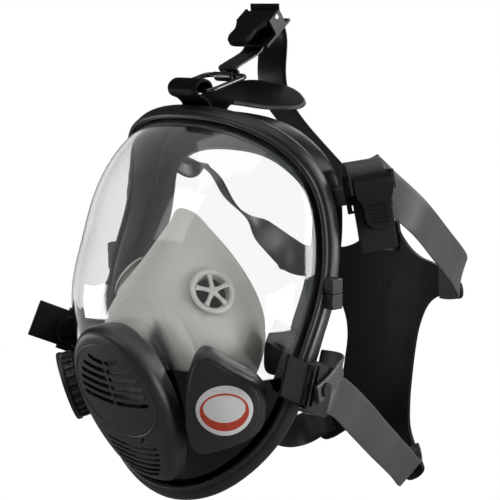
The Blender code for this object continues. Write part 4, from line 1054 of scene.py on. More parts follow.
def brushed(name, colour, rough=0.3, scale=(40.0, 900.0, 40.0)):
    m = bpy.data.materials.new(name)
    m.use_nodes = True
    nt = m.node_tree
    b = nt.nodes['Principled BSDF']
    tc = nt.nodes.new('ShaderNodeTexCoord')
    mp = nt.nodes.new('ShaderNodeMapping')
    mp.inputs['Scale'].default_value = scale
    nt.links.new(tc.outputs['Object'], mp.inputs['Vector'])
    f = noise(nt, 6.0, 4.0, 0.6, mp.outputs['Vector'])
    nt.links.new(ramp(nt, f, [(0.3, tuple(c * 0.75 for c in colour)),
                              (0.7, tuple(min(1, c * 1.2) for c in colour))]), b.inputs['Base Color'])
    nt.links.new(maprange(nt, f, 0.3, 0.7, rough - 0.1, rough + 0.12), b.inputs['Roughness'])
    b.inputs['Metallic'].default_value = 1.0
    bp = node(nt, 'ShaderNodeBump', Strength=0.15, Distance=0.0001)
    nt.links.new(f, bp.inputs['Height'])
    nt.links.new(bp.outputs['Normal'], b.inputs['Normal'])
    return m


def glass_skin(name):
    m = bpy.data.materials.new(name)
    m.use_nodes = True
    nt = m.node_tree
    b = nt.nodes['Principled BSDF']
    out = nt.nodes['Material Output']
    tc = nt.nodes.new('ShaderNodeTexCoord')
    sp = nt.nodes.new('ShaderNodeSeparateXYZ')
    nt.links.new(tc.outputs['Object'], sp.inputs[0])
    side = maprange(nt, maths(nt, 'ABSOLUTE', sp.outputs[0]), 0.050, 0.068, 0.0, 0.006)
    edge = maths(nt, 'ADD', sp.outputs[2], side)
    edge = maths(nt, 'ADD', edge, maths(nt, 'MULTIPLY', noise(nt, 220.0, 2.0), 0.0003))
    clear = maprange(nt, edge, -0.0322, -0.0312, 0.0, 1.0)
    tint = ramp(nt, noise(nt, 14.0, 2.0), [(0.3, (0.950, 0.953, 0.953)), (0.7, (0.962, 0.963, 0.962))])
    nt.links.new(mixcol(nt, clear, (0.0, 0.0, 0.0), tint), b.inputs['Base Color'])
    b.inputs['Transmission Weight'].default_value = 1.0
    b.inputs['IOR'].default_value = 1.46
    # faint haze and hairlines in the hard coat
    f = noise(nt, 900.0, 3.0, 0.65)
    nt.links.new(maprange(nt, f, 0.35, 0.75, 0.012, 0.035), b.inputs['Roughness'])
    bp = node(nt, 'ShaderNodeBump', Strength=0.02, Distance=0.0001)
    nt.links.new(noise(nt, 45.0, 1.0, 0.4), bp.inputs['Height'])
    nt.links.new(bp.outputs['Normal'], b.inputs['Normal'])
    lp = nt.nodes.new('ShaderNodeLightPath')
    tr = nt.nodes.new('ShaderNodeBsdfTransparent')
    tr.inputs['Color'].default_value = (0.9, 0.91, 0.915, 1)
    mx = nt.nodes.new('ShaderNodeMixShader')
    nt.links.new(lp.outputs['Is Shadow Ray'], mx.inputs[0])
    nt.links.new(b.outputs[0], mx.inputs[1])
    nt.links.new(tr.outputs[0], mx.inputs[2])
    nt.links.new(mx.outputs[0], out.inputs['Surface'])
    return m


def attr(nt, name):
    a = nt.nodes.new('ShaderNodeAttribute')
    a.attribute_name = name
    return a.outputs['Fac']


def strap_skin(name, grey, black, tail_from, rough=0.38):
    """Smooth rubber band that turns to woven webbing past tail_from (metres along it)."""
    m = bpy.data.materials.new(name)
    m.use_nodes = True
    nt = m.node_tree
    b = nt.nodes['Principled BSDF']
    u, v = attr(nt, 'across'), attr(nt, 'along')
    woven = maprange(nt, v, tail_from - 0.0015, tail_from + 0.0015, 0.0, 1.0)
    # weave: warp cords along the band, weft picks across it
    warp = maths(nt, 'SINE', maths(nt, 'MULTIPLY', u, 2 * math.pi / 0.0013))
    sh = maths(nt, 'MULTIPLY', maths(nt, 'SIGN', warp), math.pi / 2)
    weft = maths(nt, 'SINE', maths(nt, 'ADD', maths(nt, 'MULTIPLY', v, 2 * math.pi / 0.0016), sh))
    weave = maths(nt, 'ADD', maths(nt, 'ABSOLUTE', warp), maths(nt, 'MULTIPLY', weft, 0.5))
    # rubber: fine lengthwise drawing marks and cloudy bloom
    vec = nt.nodes.new('ShaderNodeCombineXYZ')
    nt.links.new(maths(nt, 'MULTIPLY', u, 900.0), vec.inputs[0])
    nt.links.new(maths(nt, 'MULTIPLY', v, 30.0), vec.inputs[1])
    lines = noise(nt, 1.0, 2.0, 0.5, vec.outputs[0])
    cloud = noise(nt, 38.0, 3.0, 0.55)
    g = ramp(nt, maths(nt, 'ADD', maths(nt, 'MULTIPLY', cloud, 0.75),
                       maths(nt, 'MULTIPLY', lines, 0.25)),
             [(0.32, tuple(c * 0.8 for c in grey)), (0.68, tuple(c * 1.2 for c in grey))])
    # a paler band down each edge where the rubber is thin
    e = maprange(nt, maths(nt, 'ABSOLUTE', u), 0.0103, 0.0115, 0.0, 0.35)
    g = mixcol(nt, e, g, tuple(min(1.0, c * 1.7) for c in grey))
    k = ramp(nt, maprange(nt, weave, -0.4, 1.4, 0.0, 1.0),
             [(0.2, tuple(c * 0.45 for c in black)), (0.9, tuple(c * 1.8 for c in black))])
    nt.links.new(mixcol(nt, woven, g, k), b.inputs['Base Color'])
    r0 = maprange(nt, cloud, 0.3, 0.7, rough - 0.05, rough + 0.08)
    rr = nt.nodes.new('ShaderNodeMix')
    rr.data_type = 'FLOAT'
    nt.links.new(woven, rr.inputs[0])
    nt.links.new(r0, rr.inputs[2])
    rr.inputs[3].default_value = 0.82
    nt.links.new(rr.outputs[0], b.inputs['Roughness'])
    b.inputs['Specular IOR Level'].default_value = 0.35
    h = nt.nodes.new('ShaderNodeMix')
    h.data_type = 'FLOAT'
    nt.links.new(woven, h.inputs[0])
    nt.links.new(maths(nt, 'MULTIPLY', lines, 0.06), h.inputs[2])
    nt.links.new(weave, h.inputs[3])
    bp = node(nt, 'ShaderNodeBump', Strength=0.6, Distance=0.00018)
    nt.links.new(h.outputs[0], bp.inputs['Height'])
    nt.links.new(bp.outputs['Normal'], b.inputs['Normal'])
    return m


# ------------------------------------------------------------- helpers
def bevel(ob, width, segments=2, angle=30):
    m = ob.modifiers.new('soft_edges', 'BEVEL')
    m.width = width * MM
    m.segments = segments
    m.limit_method = 'ANGLE'
    m.angle_limit = math.radians(angle)
    m.harden_normals = False
    return ob


def paint(ob, mat):
    if len(ob.data.materials):
        for i in range(len(ob.data.materials)):
            ob.material_slots[i].link = 'OBJECT'
            ob.material_slots[i].material = mat
    else:
        ob.data.materials.append(mat)
    return ob


def ribbon(name, P, widths, dirs, thick, mat, round_n=3, crown=0.0):
    """A flat band with rounded edges; keeps how far along and across each point is."""
    P = np.asarray(P, float)
    T = np.gradient(P, axis=0)
    L = np.concatenate([[0], np.cumsum(np.linalg.norm(np.diff(P, axis=0), axis=1))])
    k = thick / 2
    sec = []
    for s in (1, -1):
        a0 = -90 if s > 0 else 90
        for i in range(round_n + 1):
            t = math.radians(a0 + 180 * i / round_n)
            sec.append((s, k * abs(math.cos(t)) - k, k * math.sin(t)))
    mids = [0.75, 0.4, 0.0, -0.4, -0.75]
    rows, al, ac = [], [], []
    for i in range(len(P)):
        t = nv(T[i])
        d = np.asarray(dirs[i], float)
        w = nv(d - d.dot(t) * t)
        n = np.cross(t, w)
        h = widths[i]
        row = []
        half = len(sec) // 2
        for s, dx, dy in sec[:half]:
            row.append((s * (h + dx), dy))
        for q in mids:
            row.append((q * h, k + crown * (1 - q * q)))
        for s, dx, dy in sec[half:]:
            row.append((s * (h + dx), dy))
        for q in mids[::-1]:
            row.append((q * h, -k - crown * (1 - q * q)))
        rows.append([P[i] + a * w + b * n for a, b in row])
        al += [L[i] * MM] * len(row)
        ac += [a * MM for a, b in row]
    ob = swept(name, rows, False, mat, 50)
    me = ob.data
    # the merge keeps the order of points that are apart, so look each one up again
    S = np.array(rows).reshape(-1, 3) * MM
    from mathutils.kdtree import KDTree
    kd = KDTree(len(S))
    for i, p in enumerate(S):
        kd.insert(p, i)
    kd.balance()
    A = me.attributes.new('along', 'FLOAT', 'POINT')
    B = me.attributes.new('across', 'FLOAT', 'POINT')
    for v in me.vertices:
        _, i, _ = kd.find(v.co)
        A.data[v.index].value = al[i]
        B.data[v.index].value = ac[i]
    return ob


def spline_band(knots, steps):
    K = np.array([list(p) + list(nv(w)) for p, w in knots], float)
    Q = open_spline(K, steps)
    return Q[:, :3], Q[:, 3:6]


def relax(P, n):
    """Rounds a path without moving its ends."""
    P = P.copy()
    for _ in range(n):
        P[1:-1] = 0.25 * P[:-2] + 0.5 * P[1:-1] + 0.25 * P[2:]
    return P


# ------------------------------------------------------------- camera
def make_camera():
    az, el, dist = math.radians(42), math.radians(10), 0.85
    T = Vector((0.037, -0.037, 0.030))
    b = Vector((math.sin(az) * math.cos(el), -math.cos(az) * math.cos(el), math.sin(el)))
    cam = bpy.data.cameras.new('camera')
    cam.sensor_width = 36.0
    cam.lens = 1402.5 / 500 * 36.0
    cam.clip_start = 0.01
    cam.clip_end = 50
    ob = bpy.data.objects.new('camera', cam)
    SCENE.collection.objects.link(ob)
    ob.location = T + b * dist
    ob.rotation_euler = (-b).to_track_quat('-Z', 'Y').to_euler()
    SCENE.camera = ob


def area(name, loc, target, size, power, colour=(1, 1, 1)):
    l = bpy.data.lights.new(name, 'AREA')
    l.shape = 'RECTANGLE'
    l.size, l.size_y = size
    l.energy = power
    l.color = colour
    ob = bpy.data.objects.new(name, l)
    SCENE.collection.objects.link(ob)
    ob.location = loc
    d = Vector(target) - Vector(loc)
    ob.rotation_euler = d.to_track_quat('-Z', 'Y').to_euler()
    return ob


def seen_directly(nt):
    """1 where the backdrop is looked at, straight or through the lens."""
    lp = nt.nodes.new('ShaderNodeLightPath')
    return maths(nt, 'MAXIMUM', lp.outputs['Is Camera Ray'], lp.outputs['Is Transmission Ray'])


def make_studio():
    w = bpy.data.worlds.new('studio')
    SCENE.world = w
    w.use_nodes = True
    nt = w.node_tree
    out = nt.nodes['World Output']
    room = nt.nodes['Background']
    sheet = nt.nodes.new('ShaderNodeBackground')
    sheet.inputs['Color'].default_value = (1, 1, 1, 1)
    sheet.inputs['Strength'].default_value = 1.0
    tc = nt.nodes.new('ShaderNodeTexCoord')
    sep = nt.nodes.new('ShaderNodeSeparateXYZ')
    nt.links.new(tc.outputs['Generated'], sep.inputs[0])
    c = ramp(nt, maprange(nt, sep.outputs[2], -0.2, 1.0, 0.0, 1.0),
             [(0.0, (0.16, 0.16, 0.162)), (0.5, (0.20, 0.20, 0.205)), (1.0, (0.36, 0.36, 0.37))])
    nt.links.new(c, room.inputs['Color'])
    room.inputs['Strength'].default_value = ROOM
    mix = nt.nodes.new('ShaderNodeMixShader')
    nt.links.new(seen_directly(nt), mix.inputs[0])
    nt.links.new(room.outputs[0], mix.inputs[1])
    nt.links.new(sheet.outputs[0], mix.inputs[2])
    nt.links.new(mix.outputs[0], out.inputs['Surface'])
    # floor
    me = bpy.data.meshes.new('floor')
    s = 6.0
    z = FLOOR_Z
    me.from_pydata([(-s, -s, z), (s, -s, z), (s, s, z), (-s, s, z)], [], [(0, 1, 2, 3)])
    fl = bpy.data.objects.new('floor', me)
    SCENE.collection.objects.link(fl)
    m = bpy.data.materials.new('pale_floor')
    m.use_nodes = True
    nt = m.node_tree
    b = nt.nodes['Principled BSDF']
    b.inputs['Base Color'].default_value = (0.30, 0.30, 0.30, 1)
    b.inputs['Roughness'].default_value = 0.9
    b.inputs['Specular IOR Level'].default_value = 0.1
    glow = nt.nodes.new('ShaderNodeEmission')
    glow.inputs['Strength'].default_value = 1.0
    mix = nt.nodes.new('ShaderNodeMixShader')
    nt.links.new(seen_directly(nt), mix.inputs[0])
    nt.links.new(b.outputs[0], mix.inputs[1])
    nt.links.new(glow.outputs[0], mix.inputs[2])
    nt.links.new(mix.outputs[0], nt.nodes['Material Output'].inputs['Surface'])
    me.materials.append(m)
    for name, loc, tgt, size, power in LIGHTS:
        area(name, loc, tgt, size, power)
    SCENE.view_settings.view_transform = 'Standard'
    SCENE.view_settings.look = 'None'


FLOOR_Z = -0.205
ROOM = 0.26
LIGHTS = [
    ('side_panel', (0.86, 0.10, -0.05), (0.05, -0.05, -0.02), (0.26, 0.28), 3.0),
    ('low_panel', (-0.56, -0.38, -0.12), (-0.02, -0.11, -0.02), (0.26, 0.14), 0.9),
    ('top_panel', (0.10, -0.15, 1.35), (0, -0.04, 0.0), (1.3, 1.3), 4.5),
    ('rear_panel', (1.05, 0.80, 0.45), (0.08, 0.05, 0.0), (0.7, 0.7), 12.0),
    ('back_panel', (-0.40, 1.35, 0.75), (0.05, 0.0, 0.05), (0.9, 0.5), 5.0),
    ('front_panel', (-0.25, -1.5, 1.1), (0, -0.05, 0.0), (1.4, 1.0), 6.5),
]


# ------------------------------------------------------------- pieces
def look_lens():
    m = glass_skin('lens_glass')
    ob = make_lens(m, 288, 30)
    ob.name = 'lens_look'
    fa, fc = nv(FRONT_AXIS), lens_point(0, FRONT_Z)
    ea, ec = lens_normal(0, EXH_Z), lens_point(0, EXH_Z)
    pa = {s: port_axis() * np.array([s, 1, 1]) for s in (1, -1)}
    cuts = [cutter_cyl(fc, fa, FRONT_HOLE_R, -14, 14, 96), cutter_cyl(ec, ea, EXH_HOLE_R, -9, 9, 64)]
    cuts += [cutter_cyl(lens_point(s * PORT_XZ[0], PORT_XZ[1]), pa[s], PORT_HOLE_R, -16, 16, 80)
             for s in (1, -1)]
    boolean(ob, cuts, 'DIFFERENCE', 40)
    stands_for(ob, 'lens')


FRAME_LOOK = [(-1.5, 2.1), (-1.75, 2.9), (-1.6, 3.9), (-0.9, 4.55), (0.0, 4.75), (0.8, 4.5),
              (1.25, 4.0), (1.7, 3.85), (2.2, 4.1), (2.7, 4.65), (3.5, 5.0), (5.5, 5.2),
              (8.0, 5.1), (9.4, 4.75), (10.3, 4.0), (10.65, 3.0), (10.7, 0.5), (10.65, -2.2),
              (10.3, -2.9), (9.7, -3.1), (8.2, -3.1), (7.65, -2.8), (7.6, -2.2), (7.6, 2.1)]


def look_frame():
    m = skin('frame_nylon', (0.022, 0.022, 0.024), 0.36, var=0.2, grain=900, bump=0.05,
             spread=30, wear=0.12, spec=0.5, big_bump=0.15)
    global FRAME_SEC
    keep = FRAME_SEC
    FRAME_SEC = FRAME_LOOK
    pieces = {}
    for up, tag in ((True, 'upper'), (False, 'lower')):
        pieces[tag] = make_frame('frame_%s_look' % tag, up, m, 4 * RIM_STEPS)
    FRAME_SEC = keep
    for tag, ob in pieces.items():
        stands_for(ob, 'frame_' + tag)
    zg = FRAME_SPLIT_GAP / 2
    hu, hv = BOSS_U / 2, BOSS_V
    for s, side in ((1, 'right'), (-1, 'left')):
        o, u, n, z = boss_frame(s)
        fr = (o + 3.2 * n, z, u, n)
        sc = o + 8.4 * n
        for tag, l0, l1, hl in (('upper', zg, BOSS_L, BOSS_L), ('lower', -BOSS_L, -zg, -BOSS_L)):
            b = box_local('clamp_box_%s_%s' % (tag, side), fr, l0, l1, -hu, hu, 0.0, hv, m)
            boolean(b, [cutter_cyl(sc, z, SCREW_R + GAP, -16, 16, 32),
                        cutter_cyl(sc, z, HEAD_R + GAP, hl - 3, hl + 3, 32)], 'DIFFERENCE', 40)
            bevel(b, 0.7, 3)
            extra(b, 'frame_' + tag)
    R, U, N = rim_frames(720)
    return m


def look_blank():
    global seal_curve
    plain = seal_curve

    def wider(R):
        S, D = plain(R)
        w = smooth01(14.0, 40.0, R[:, 2]) * smooth01(112.0, 96.0, R[:, 2])
        return S, D * (1 + 0.10 * w)[:, None]
    m = skin('blank_rubber_look', (0.0040, 0.0046, 0.0070), 0.42, var=0.2, grain=700, bump=0.05,
             spread=25, spec=0.38, sheen=0.0, rough_var=0.07, big_bump=0.2)
    nt = m.node_tree
    b = nt.nodes['Principled BSDF']
    base = b.inputs['Base Color'].links[0].from_socket
    # painted light: the flange's outer lip is mixed to a paler grey, standing in for the light and sheen
    # falling on it
    nt.links.new(mixcol(nt, attr(nt, 'lip'), base, (0.044, 0.050, 0.054)), b.inputs['Base Color'])
    seal_curve = wider
    ob = make_blank(m, 224)
    seal_curve = plain
    ob.name = 'face_blank_look'
    R, U, N = rim_frames(224)
    S, D = plain(R)
    from mathutils.kdtree import KDTree
    kd = KDTree(len(S))
    for k, q in enumerate(S):
        kd.insert(q * MM, k)
    kd.balance()
    # the attribute marks the flange's outer lip, where the paler painted light goes
    lip = ob.data.attributes.new('lip', 'FLOAT', 'POINT')
    for v in ob.data.vertices:
        _, k, _ = kd.find(v.co)
        e = float(np.dot(np.array(v.co) / MM - S[k], D[k]))
        lip.data[v.index].value = float(smooth01(5.0, 9.0, e))
    sub = ob.modifiers.new('soft', 'SUBSURF')
    sub.levels = sub.render_levels = 1
    stands_for(ob, 'face_blank')
    # black tabs on the blank beside the nose cup's rim, seen through the lens
    mt = skin('blank_tab_look', (0.006, 0.006, 0.007), 0.45, var=0.2, grain=700, bump=0.1)
    for sd, tag in ((1, 'right'), (-1, 'left')):
        out = [(57.5, -9.5), (66.0, -13.0), (73.5, -20.0), (74.5, -30.0), (73.0, -41.0),
               (62.0, -44.0), (50.0, -43.0), (48.5, -34.0), (49.5, -26.0), (53.0, -17.0)]
        Q = closed_spline(np.array([(x, 0.0, z) for x, z in out]), 60)
        rows = []
        for k, (dy, sc) in enumerate(((0.0, 0.05), (0.0, 0.5), (0.0, 0.93), (0.5, 1.0), (1.2, 1.0),
                                      (1.7, 0.93), (1.7, 0.5), (1.7, 0.05))):
            c = Q.mean(0)
            rows.append([(sd * (c[0] + sc * (q[0] - c[0])),
                          -38.0 + dy + 0.010 * (c[0] + sc * (q[0] - c[0]) - 48.0) ** 2,
                          c[2] + sc * (q[2] - c[2])) for q in Q])
        extra(capped('blank_tab_' + tag, rows, mt, 50), 'face_blank')


def smooth01(a, b, x):
    t = np.clip((x - a) / (b - a), 0, 1)
    return t * t * (3 - 2 * t)


def look_half_mask():
    m = skin('half_mask_silicone_look', (0.300, 0.297, 0.270), 0.46, var=0.08, grain=1500, bump=0.06,
             spread=22, spec=0.5, rough_var=0.05)
    b = m.node_tree.nodes['Principled BSDF']
    b.inputs['Subsurface Weight'].default_value = 0.15
    b.inputs['Subsurface Radius'].default_value = (0.004, 0.0035, 0.003)
    b.inputs['Subsurface Scale'].default_value = 1.0
    global HM_REAR
    places = {side: valve_place(side) for side in (1, -1)}
    keep = HM_REAR
    HM_REAR = [(0, -57, 53.6), (7.5, -55.2, 51.2), (14.5, -52.0, 44.2)] + list(keep[2:])
    steps, rings = 200, 60
    G = half_mask_surface(steps, rings)
    HM_REAR = keep
    rear, front = G[0], G[-1]
    ang = np.arctan2(rear[:, 2] + 14.0, rear[:, 0])
    t = np.linspace(0, 1, rings + 1)[:, None]
    a = np.degrees(np.arctan2(np.sin(ang), np.abs(np.cos(ang))))[None, :]
    # the tube to the lens stands clear of the cheek, with a deep fold between them
    bay = smooth01(74.0, 58.0, a) * smooth01(-70.0, -30.0, a)
    neck = bay * np.exp(-((t - 0.90) / 0.07) ** 2)
    G[:, :, 0] *= 1 - 0.24 * neck
    n = surface_normals(G, HM_CENTRE)
    rib = (0.28 * smooth01(0.80, 0.85, t) * smooth01(0.99, 0.95, t) * np.cos((t - 0.80) * 120.0)
           * smooth01(52.0, 66.0, a))
    roll = 1.0 * np.exp(-(t / 0.03) ** 2)
    crease = (-0.55 * np.exp(-((t - 0.735) / 0.012) ** 2) * smooth01(62.0, 50.0, a)
              * smooth01(5.0, 25.0, a))
    crease = crease + 0.9 * bay * np.exp(-((t - 0.80) / 0.035) ** 2)
    # painted shade: the fold between the tube and the cheek is coloured near black to stand in for its
    # shadow
    painted_fold_shade = bay * smooth01(0.825, 0.875, t)
    roll = roll + 0 * a
    G = G + (rib + roll + crease)[:, :, None] * n
    n = surface_normals(G, HM_CENTRE)
    inner = G - HM_T * n
    mid = (G[0] + inner[0]) / 2 + nv((0, 1, 0)) * 0.9
    rows = [mid] + list(G) + list(inner[::-1])
    S = np.array(rows)
    ob = new_object('half_mask_look', S.reshape(-1, 3), grid_faces(len(rows), steps, True, True),
                    m, 60)
    shade = np.vstack([painted_fold_shade[:1] * 0, painted_fold_shade + 0 * G[:, :, 0], (painted_fold_shade + 0 * G[:, :, 0])[::-1]]).ravel()
    from mathutils.kdtree import KDTree
    kd = KDTree(shade.size)
    for k, q in enumerate(S.reshape(-1, 3)):
        kd.insert(q * MM, k)
    kd.balance()
    at = ob.data.attributes.new('fold', 'FLOAT', 'POINT')
    for v in ob.data.vertices:
        at.data[v.index].value = float(shade[kd.find(v.co)[1]])
    nt = m.node_tree
    b = nt.nodes['Principled BSDF']
    base = b.inputs['Base Color'].links[0].from_socket
    # painted shade: the base colour is mixed to near black where the fold attribute is set
    nt.links.new(mixcol(nt, attr(nt, 'fold'), base, (0.012, 0.011, 0.011)), b.inputs['Base Color'])
    seats = []
    mv = skin('valve_seat_look', (0.30, 0.295, 0.27), 0.42, var=0.06, grain=1800, bump=0.08,
              spread=60)
    mf = skin('valve_flap_look', (0.004, 0.003, 0.0025), 0.75, var=0.2, grain=700, bump=0.15, spec=0.12)
    for s, tag in ((1, 'right'), (-1, 'left')):
        c, nn = places[s]
        boolean(ob, [cutter_cyl(c, nn, 11.2, -9, 9, 72)], 'DIFFERENCE', 60)
        prof = [(-2.6, 9.6), (-2.6, 10.9), (1.1, 10.9), (0.9, 13.4), (1.3, 14.2), (1.9, 14.3),
                (2.4, 13.8), (2.7, 12.9), (2.7, 12.0), (2.4, 11.4), (1.6, 10.7), (0.4, 10.4)]
        seat = lathe('inhale_seat_look_' + tag, prof, c, nn, mv, 96, 45)
        e1, e2, a = basis(nn)
        for i in range(5):
            tt = 2 * math.pi * (i + 0.25) / 5
            d = math.cos(tt) * e1 + math.sin(tt) * e2
            q = np.cross(a, d)
            rows = []
            for k, r in enumerate(np.linspace(1.2, 10.9, 12)):
                hw = 1.15 + 0.6 * abs(r - 6.0) ** 2 / 20.0
                rows.append([c + r * d + x * q + h * a for x, h in
                             ((-hw, 1.3), (-hw, 2.3), (-hw * 0.6, 2.65), (hw * 0.6, 2.65),
                              (hw, 2.3), (hw, 1.3))])
            sp = swept('inhale_spoke_%s_%d' % (tag, i), rows, False, mv, 40)
            extra(sp, 'inhale_seat_' + tag)
        hub = disc('inhale_hub_' + tag, 1.0, 3.0, 2.6, c, nn, mv, 32, 40, None, 0.5)
        extra(hub, 'inhale_seat_' + tag)
        stands_for(seat, 'inhale_seat_' + tag)
        fl = disc('inhale_flap_look_' + tag, -3.6, -2.95, 10.4, c, nn, mf, 72, 40, None, 0.15)
        stands_for(fl, 'inhale_flap_' + tag)
    stands_for(ob, 'half_mask')


def look_front():
    mh = skin('housing_nylon_look', (0.02, 0.02, 0.021), 0.45, var=0.2, grain=1500, bump=0.1)
    fa, fc = nv(FRONT_AXIS), lens_point(0, FRONT_Z)
    ea, ec = lens_normal(0, EXH_Z), lens_point(0, EXH_Z)
    h = lathe('front_housing_look',
              [(-12, 22.3), (-12, 24.9), (-11.7, 25.2), (0.7, 25.2), (0.7, 30.4), (1.1, 31.0),
               (3.0, 31.0), (3.4, 30.5), (3.4, 22.6), (3.1, 22.3), (-0.8, 22.3), (-0.8, 19.8),
               (-3.0, 19.8), (-3.0, 22.3)], fc, fa, mh, 128)
    stands_for(h, 'front_housing')
    md = skin('diaphragm_look', (0.5, 0.5, 0.47), 0.3, var=0.05, grain=300, bump=0.2)
    stands_for(disc('speech_diaphragm_look', -0.5, -0.1, 22.0, fc, fa, md, 96), 'speech_diaphragm')
    rg = lathe('diaphragm_ring_look', [(0.2, 19.7), (0.2, 22.0), (2.9, 22.0), (3.2, 21.6),
                                       (3.2, 19.9), (3.0, 19.5), (0.4, 19.5)], fc, fa, mh, 128)
    stands_for(rg, 'diaphragm_ring')
    prof = [(-11.5, 25.5), (-11.5, 26.9), (-11.1, 27.3), (-8.4, 27.3), (-8.0, 26.9), (-8.0, 25.5)]
    stands_for(lathe('housing_nut_look', prof, fc, fa, mh, 96), 'housing_nut')
    seat = bpy.data.objects['exhale_seat']
    paint(seat, mh)
    bevel(seat, 0.25)
    ef = skin('exhale_flap_look', (0.42, 0.42, 0.4), 0.4, var=0.08, grain=500, bump=0.12)
    stands_for(disc('exhale_flap_look', 1.8, 2.5, 12.2, ec, ea, ef, 72, 40, None, 0.2), 'exhale_flap')

    # cover
    mc = skin('cover_plastic_look', (0.027, 0.0263, 0.027), 0.42, var=0.15, grain=2600, bump=0.2,
              spread=18, wear=0.12, spec=0.7, rough_var=0.06)
    steps = 220
    O = cover_outline(steps)
    I = cover_outline(steps, COVER_T)
    prof = [(1.0, 0.0), (1.0, 0.15), (1.0, 0.30), (0.998, 0.42), (0.994, 0.55), (0.986, 0.66),
            (0.974, 0.76), (0.957, 0.85), (0.935, 0.915), (0.91, 0.96), (0.88, 0.988),
            (0.85, 0.998), (0.82, 1.0), (0.66, 1.0), (0.5, 1.0), (0.35, 1.0), (0.2, 1.0),
            (0.08, 1.0)]
    outer = [cover_surface(O, a, b, 0.0) for a, b in prof]
    inner = [cover_surface(I, a, b, COVER_T) for a, b in prof]
    ob = capped('front_cover_look', outer[::-1] + inner, mc, 45)
    cuts = []
    for z, w in UPPER_LOOK:
        cuts += [bar_cutter(z, -w, -0.55, 3.0, 1.45), bar_cutter(z, 0.55, w, 3.0, 1.45)]
    for z, w in LOWER_SLOTS:
        cuts.append(bar_cutter(z, -w, w, 2.4, 0.95))
    # small three sided recess between the two sets
    y = plate_y(13.0, -80.0)
    tri = [[(x, yy, zz) for x, zz in ((9.6, -81.6), (16.4, -80.4), (13.4, -76.6))]
           for yy in (y - 4, y + 1.0)]
    cuts.append(swept('cutter', tri, False, None, 0))
    boolean(ob, cuts, 'DIFFERENCE', 45)
    stands_for(ob, 'front_cover')
    # raised line round the face
    n = 240
    P = ridge_line(n)
    rows = []
    for i in range(n):
        t = nv(P[(i + 1) % n] - P[i - 1])
        s = nv(np.cross(t, (0, -1, 0.25)))
        a = nv(np.cross(s, t))
        if a[1] > 0:
            a = -a
        rows.append([P[i] + 0.55 * (math.cos(q) * s * 1.1 + math.sin(q) * a * 0.55)
                     for q in np.linspace(0, 2 * math.pi, 9)[:-1]])
    mr = skin('cover_line', (0.050, 0.049, 0.047), 0.35, var=0.1, grain=2600, bump=0.1)
    extra(swept('front_cover_line', rows, True, mr, 60), 'front_cover')


UPPER_LOOK = [(-30.2, 13.0), (-35.4, 19.5), (-40.6, 23.5), (-45.8, 26.0), (-51.0, 27.2),
              (-56.2, 27.6)]


def bar_cutter(z0, x0, x1, sag, half):
    """A curved slot with round ends."""
    m = max(abs(x0), abs(x1))
    rows = []
    n = 22
    for i in range(n + 1):
        t = i / n
        x = x0 + (x1 - x0) * t
        d = min(t, 1 - t) * abs(x1 - x0)
        h = half * math.sqrt(max(0.06, 1 - max(0.0, 1 - d / half) ** 2))
        z = z0 + sag * (x / m) ** 2
        y = plate_y(x, z)
        rows.append([(x, y - 6, z - h), (x, y - 6, z + h), (x, y + 5, z + h), (x, y + 5, z - h)])
    return swept('cutter', rows, False, None, 0)


def ridge_line(n):
    out = []
    for i in range(n):
        t = 2 * math.pi * i / n
        c, s = math.cos(t), math.sin(t)
        if s >= 0:
            x, z = 32.0 * c, -52.0 + 33.0 * s
        else:
            x, z = 32.0 * c * (1 - 0.05 * s * s), -52.0 + 26.5 * s
        out.append((x, float(plate_y(x, z)) - 0.05, z))
    return np.array(out)


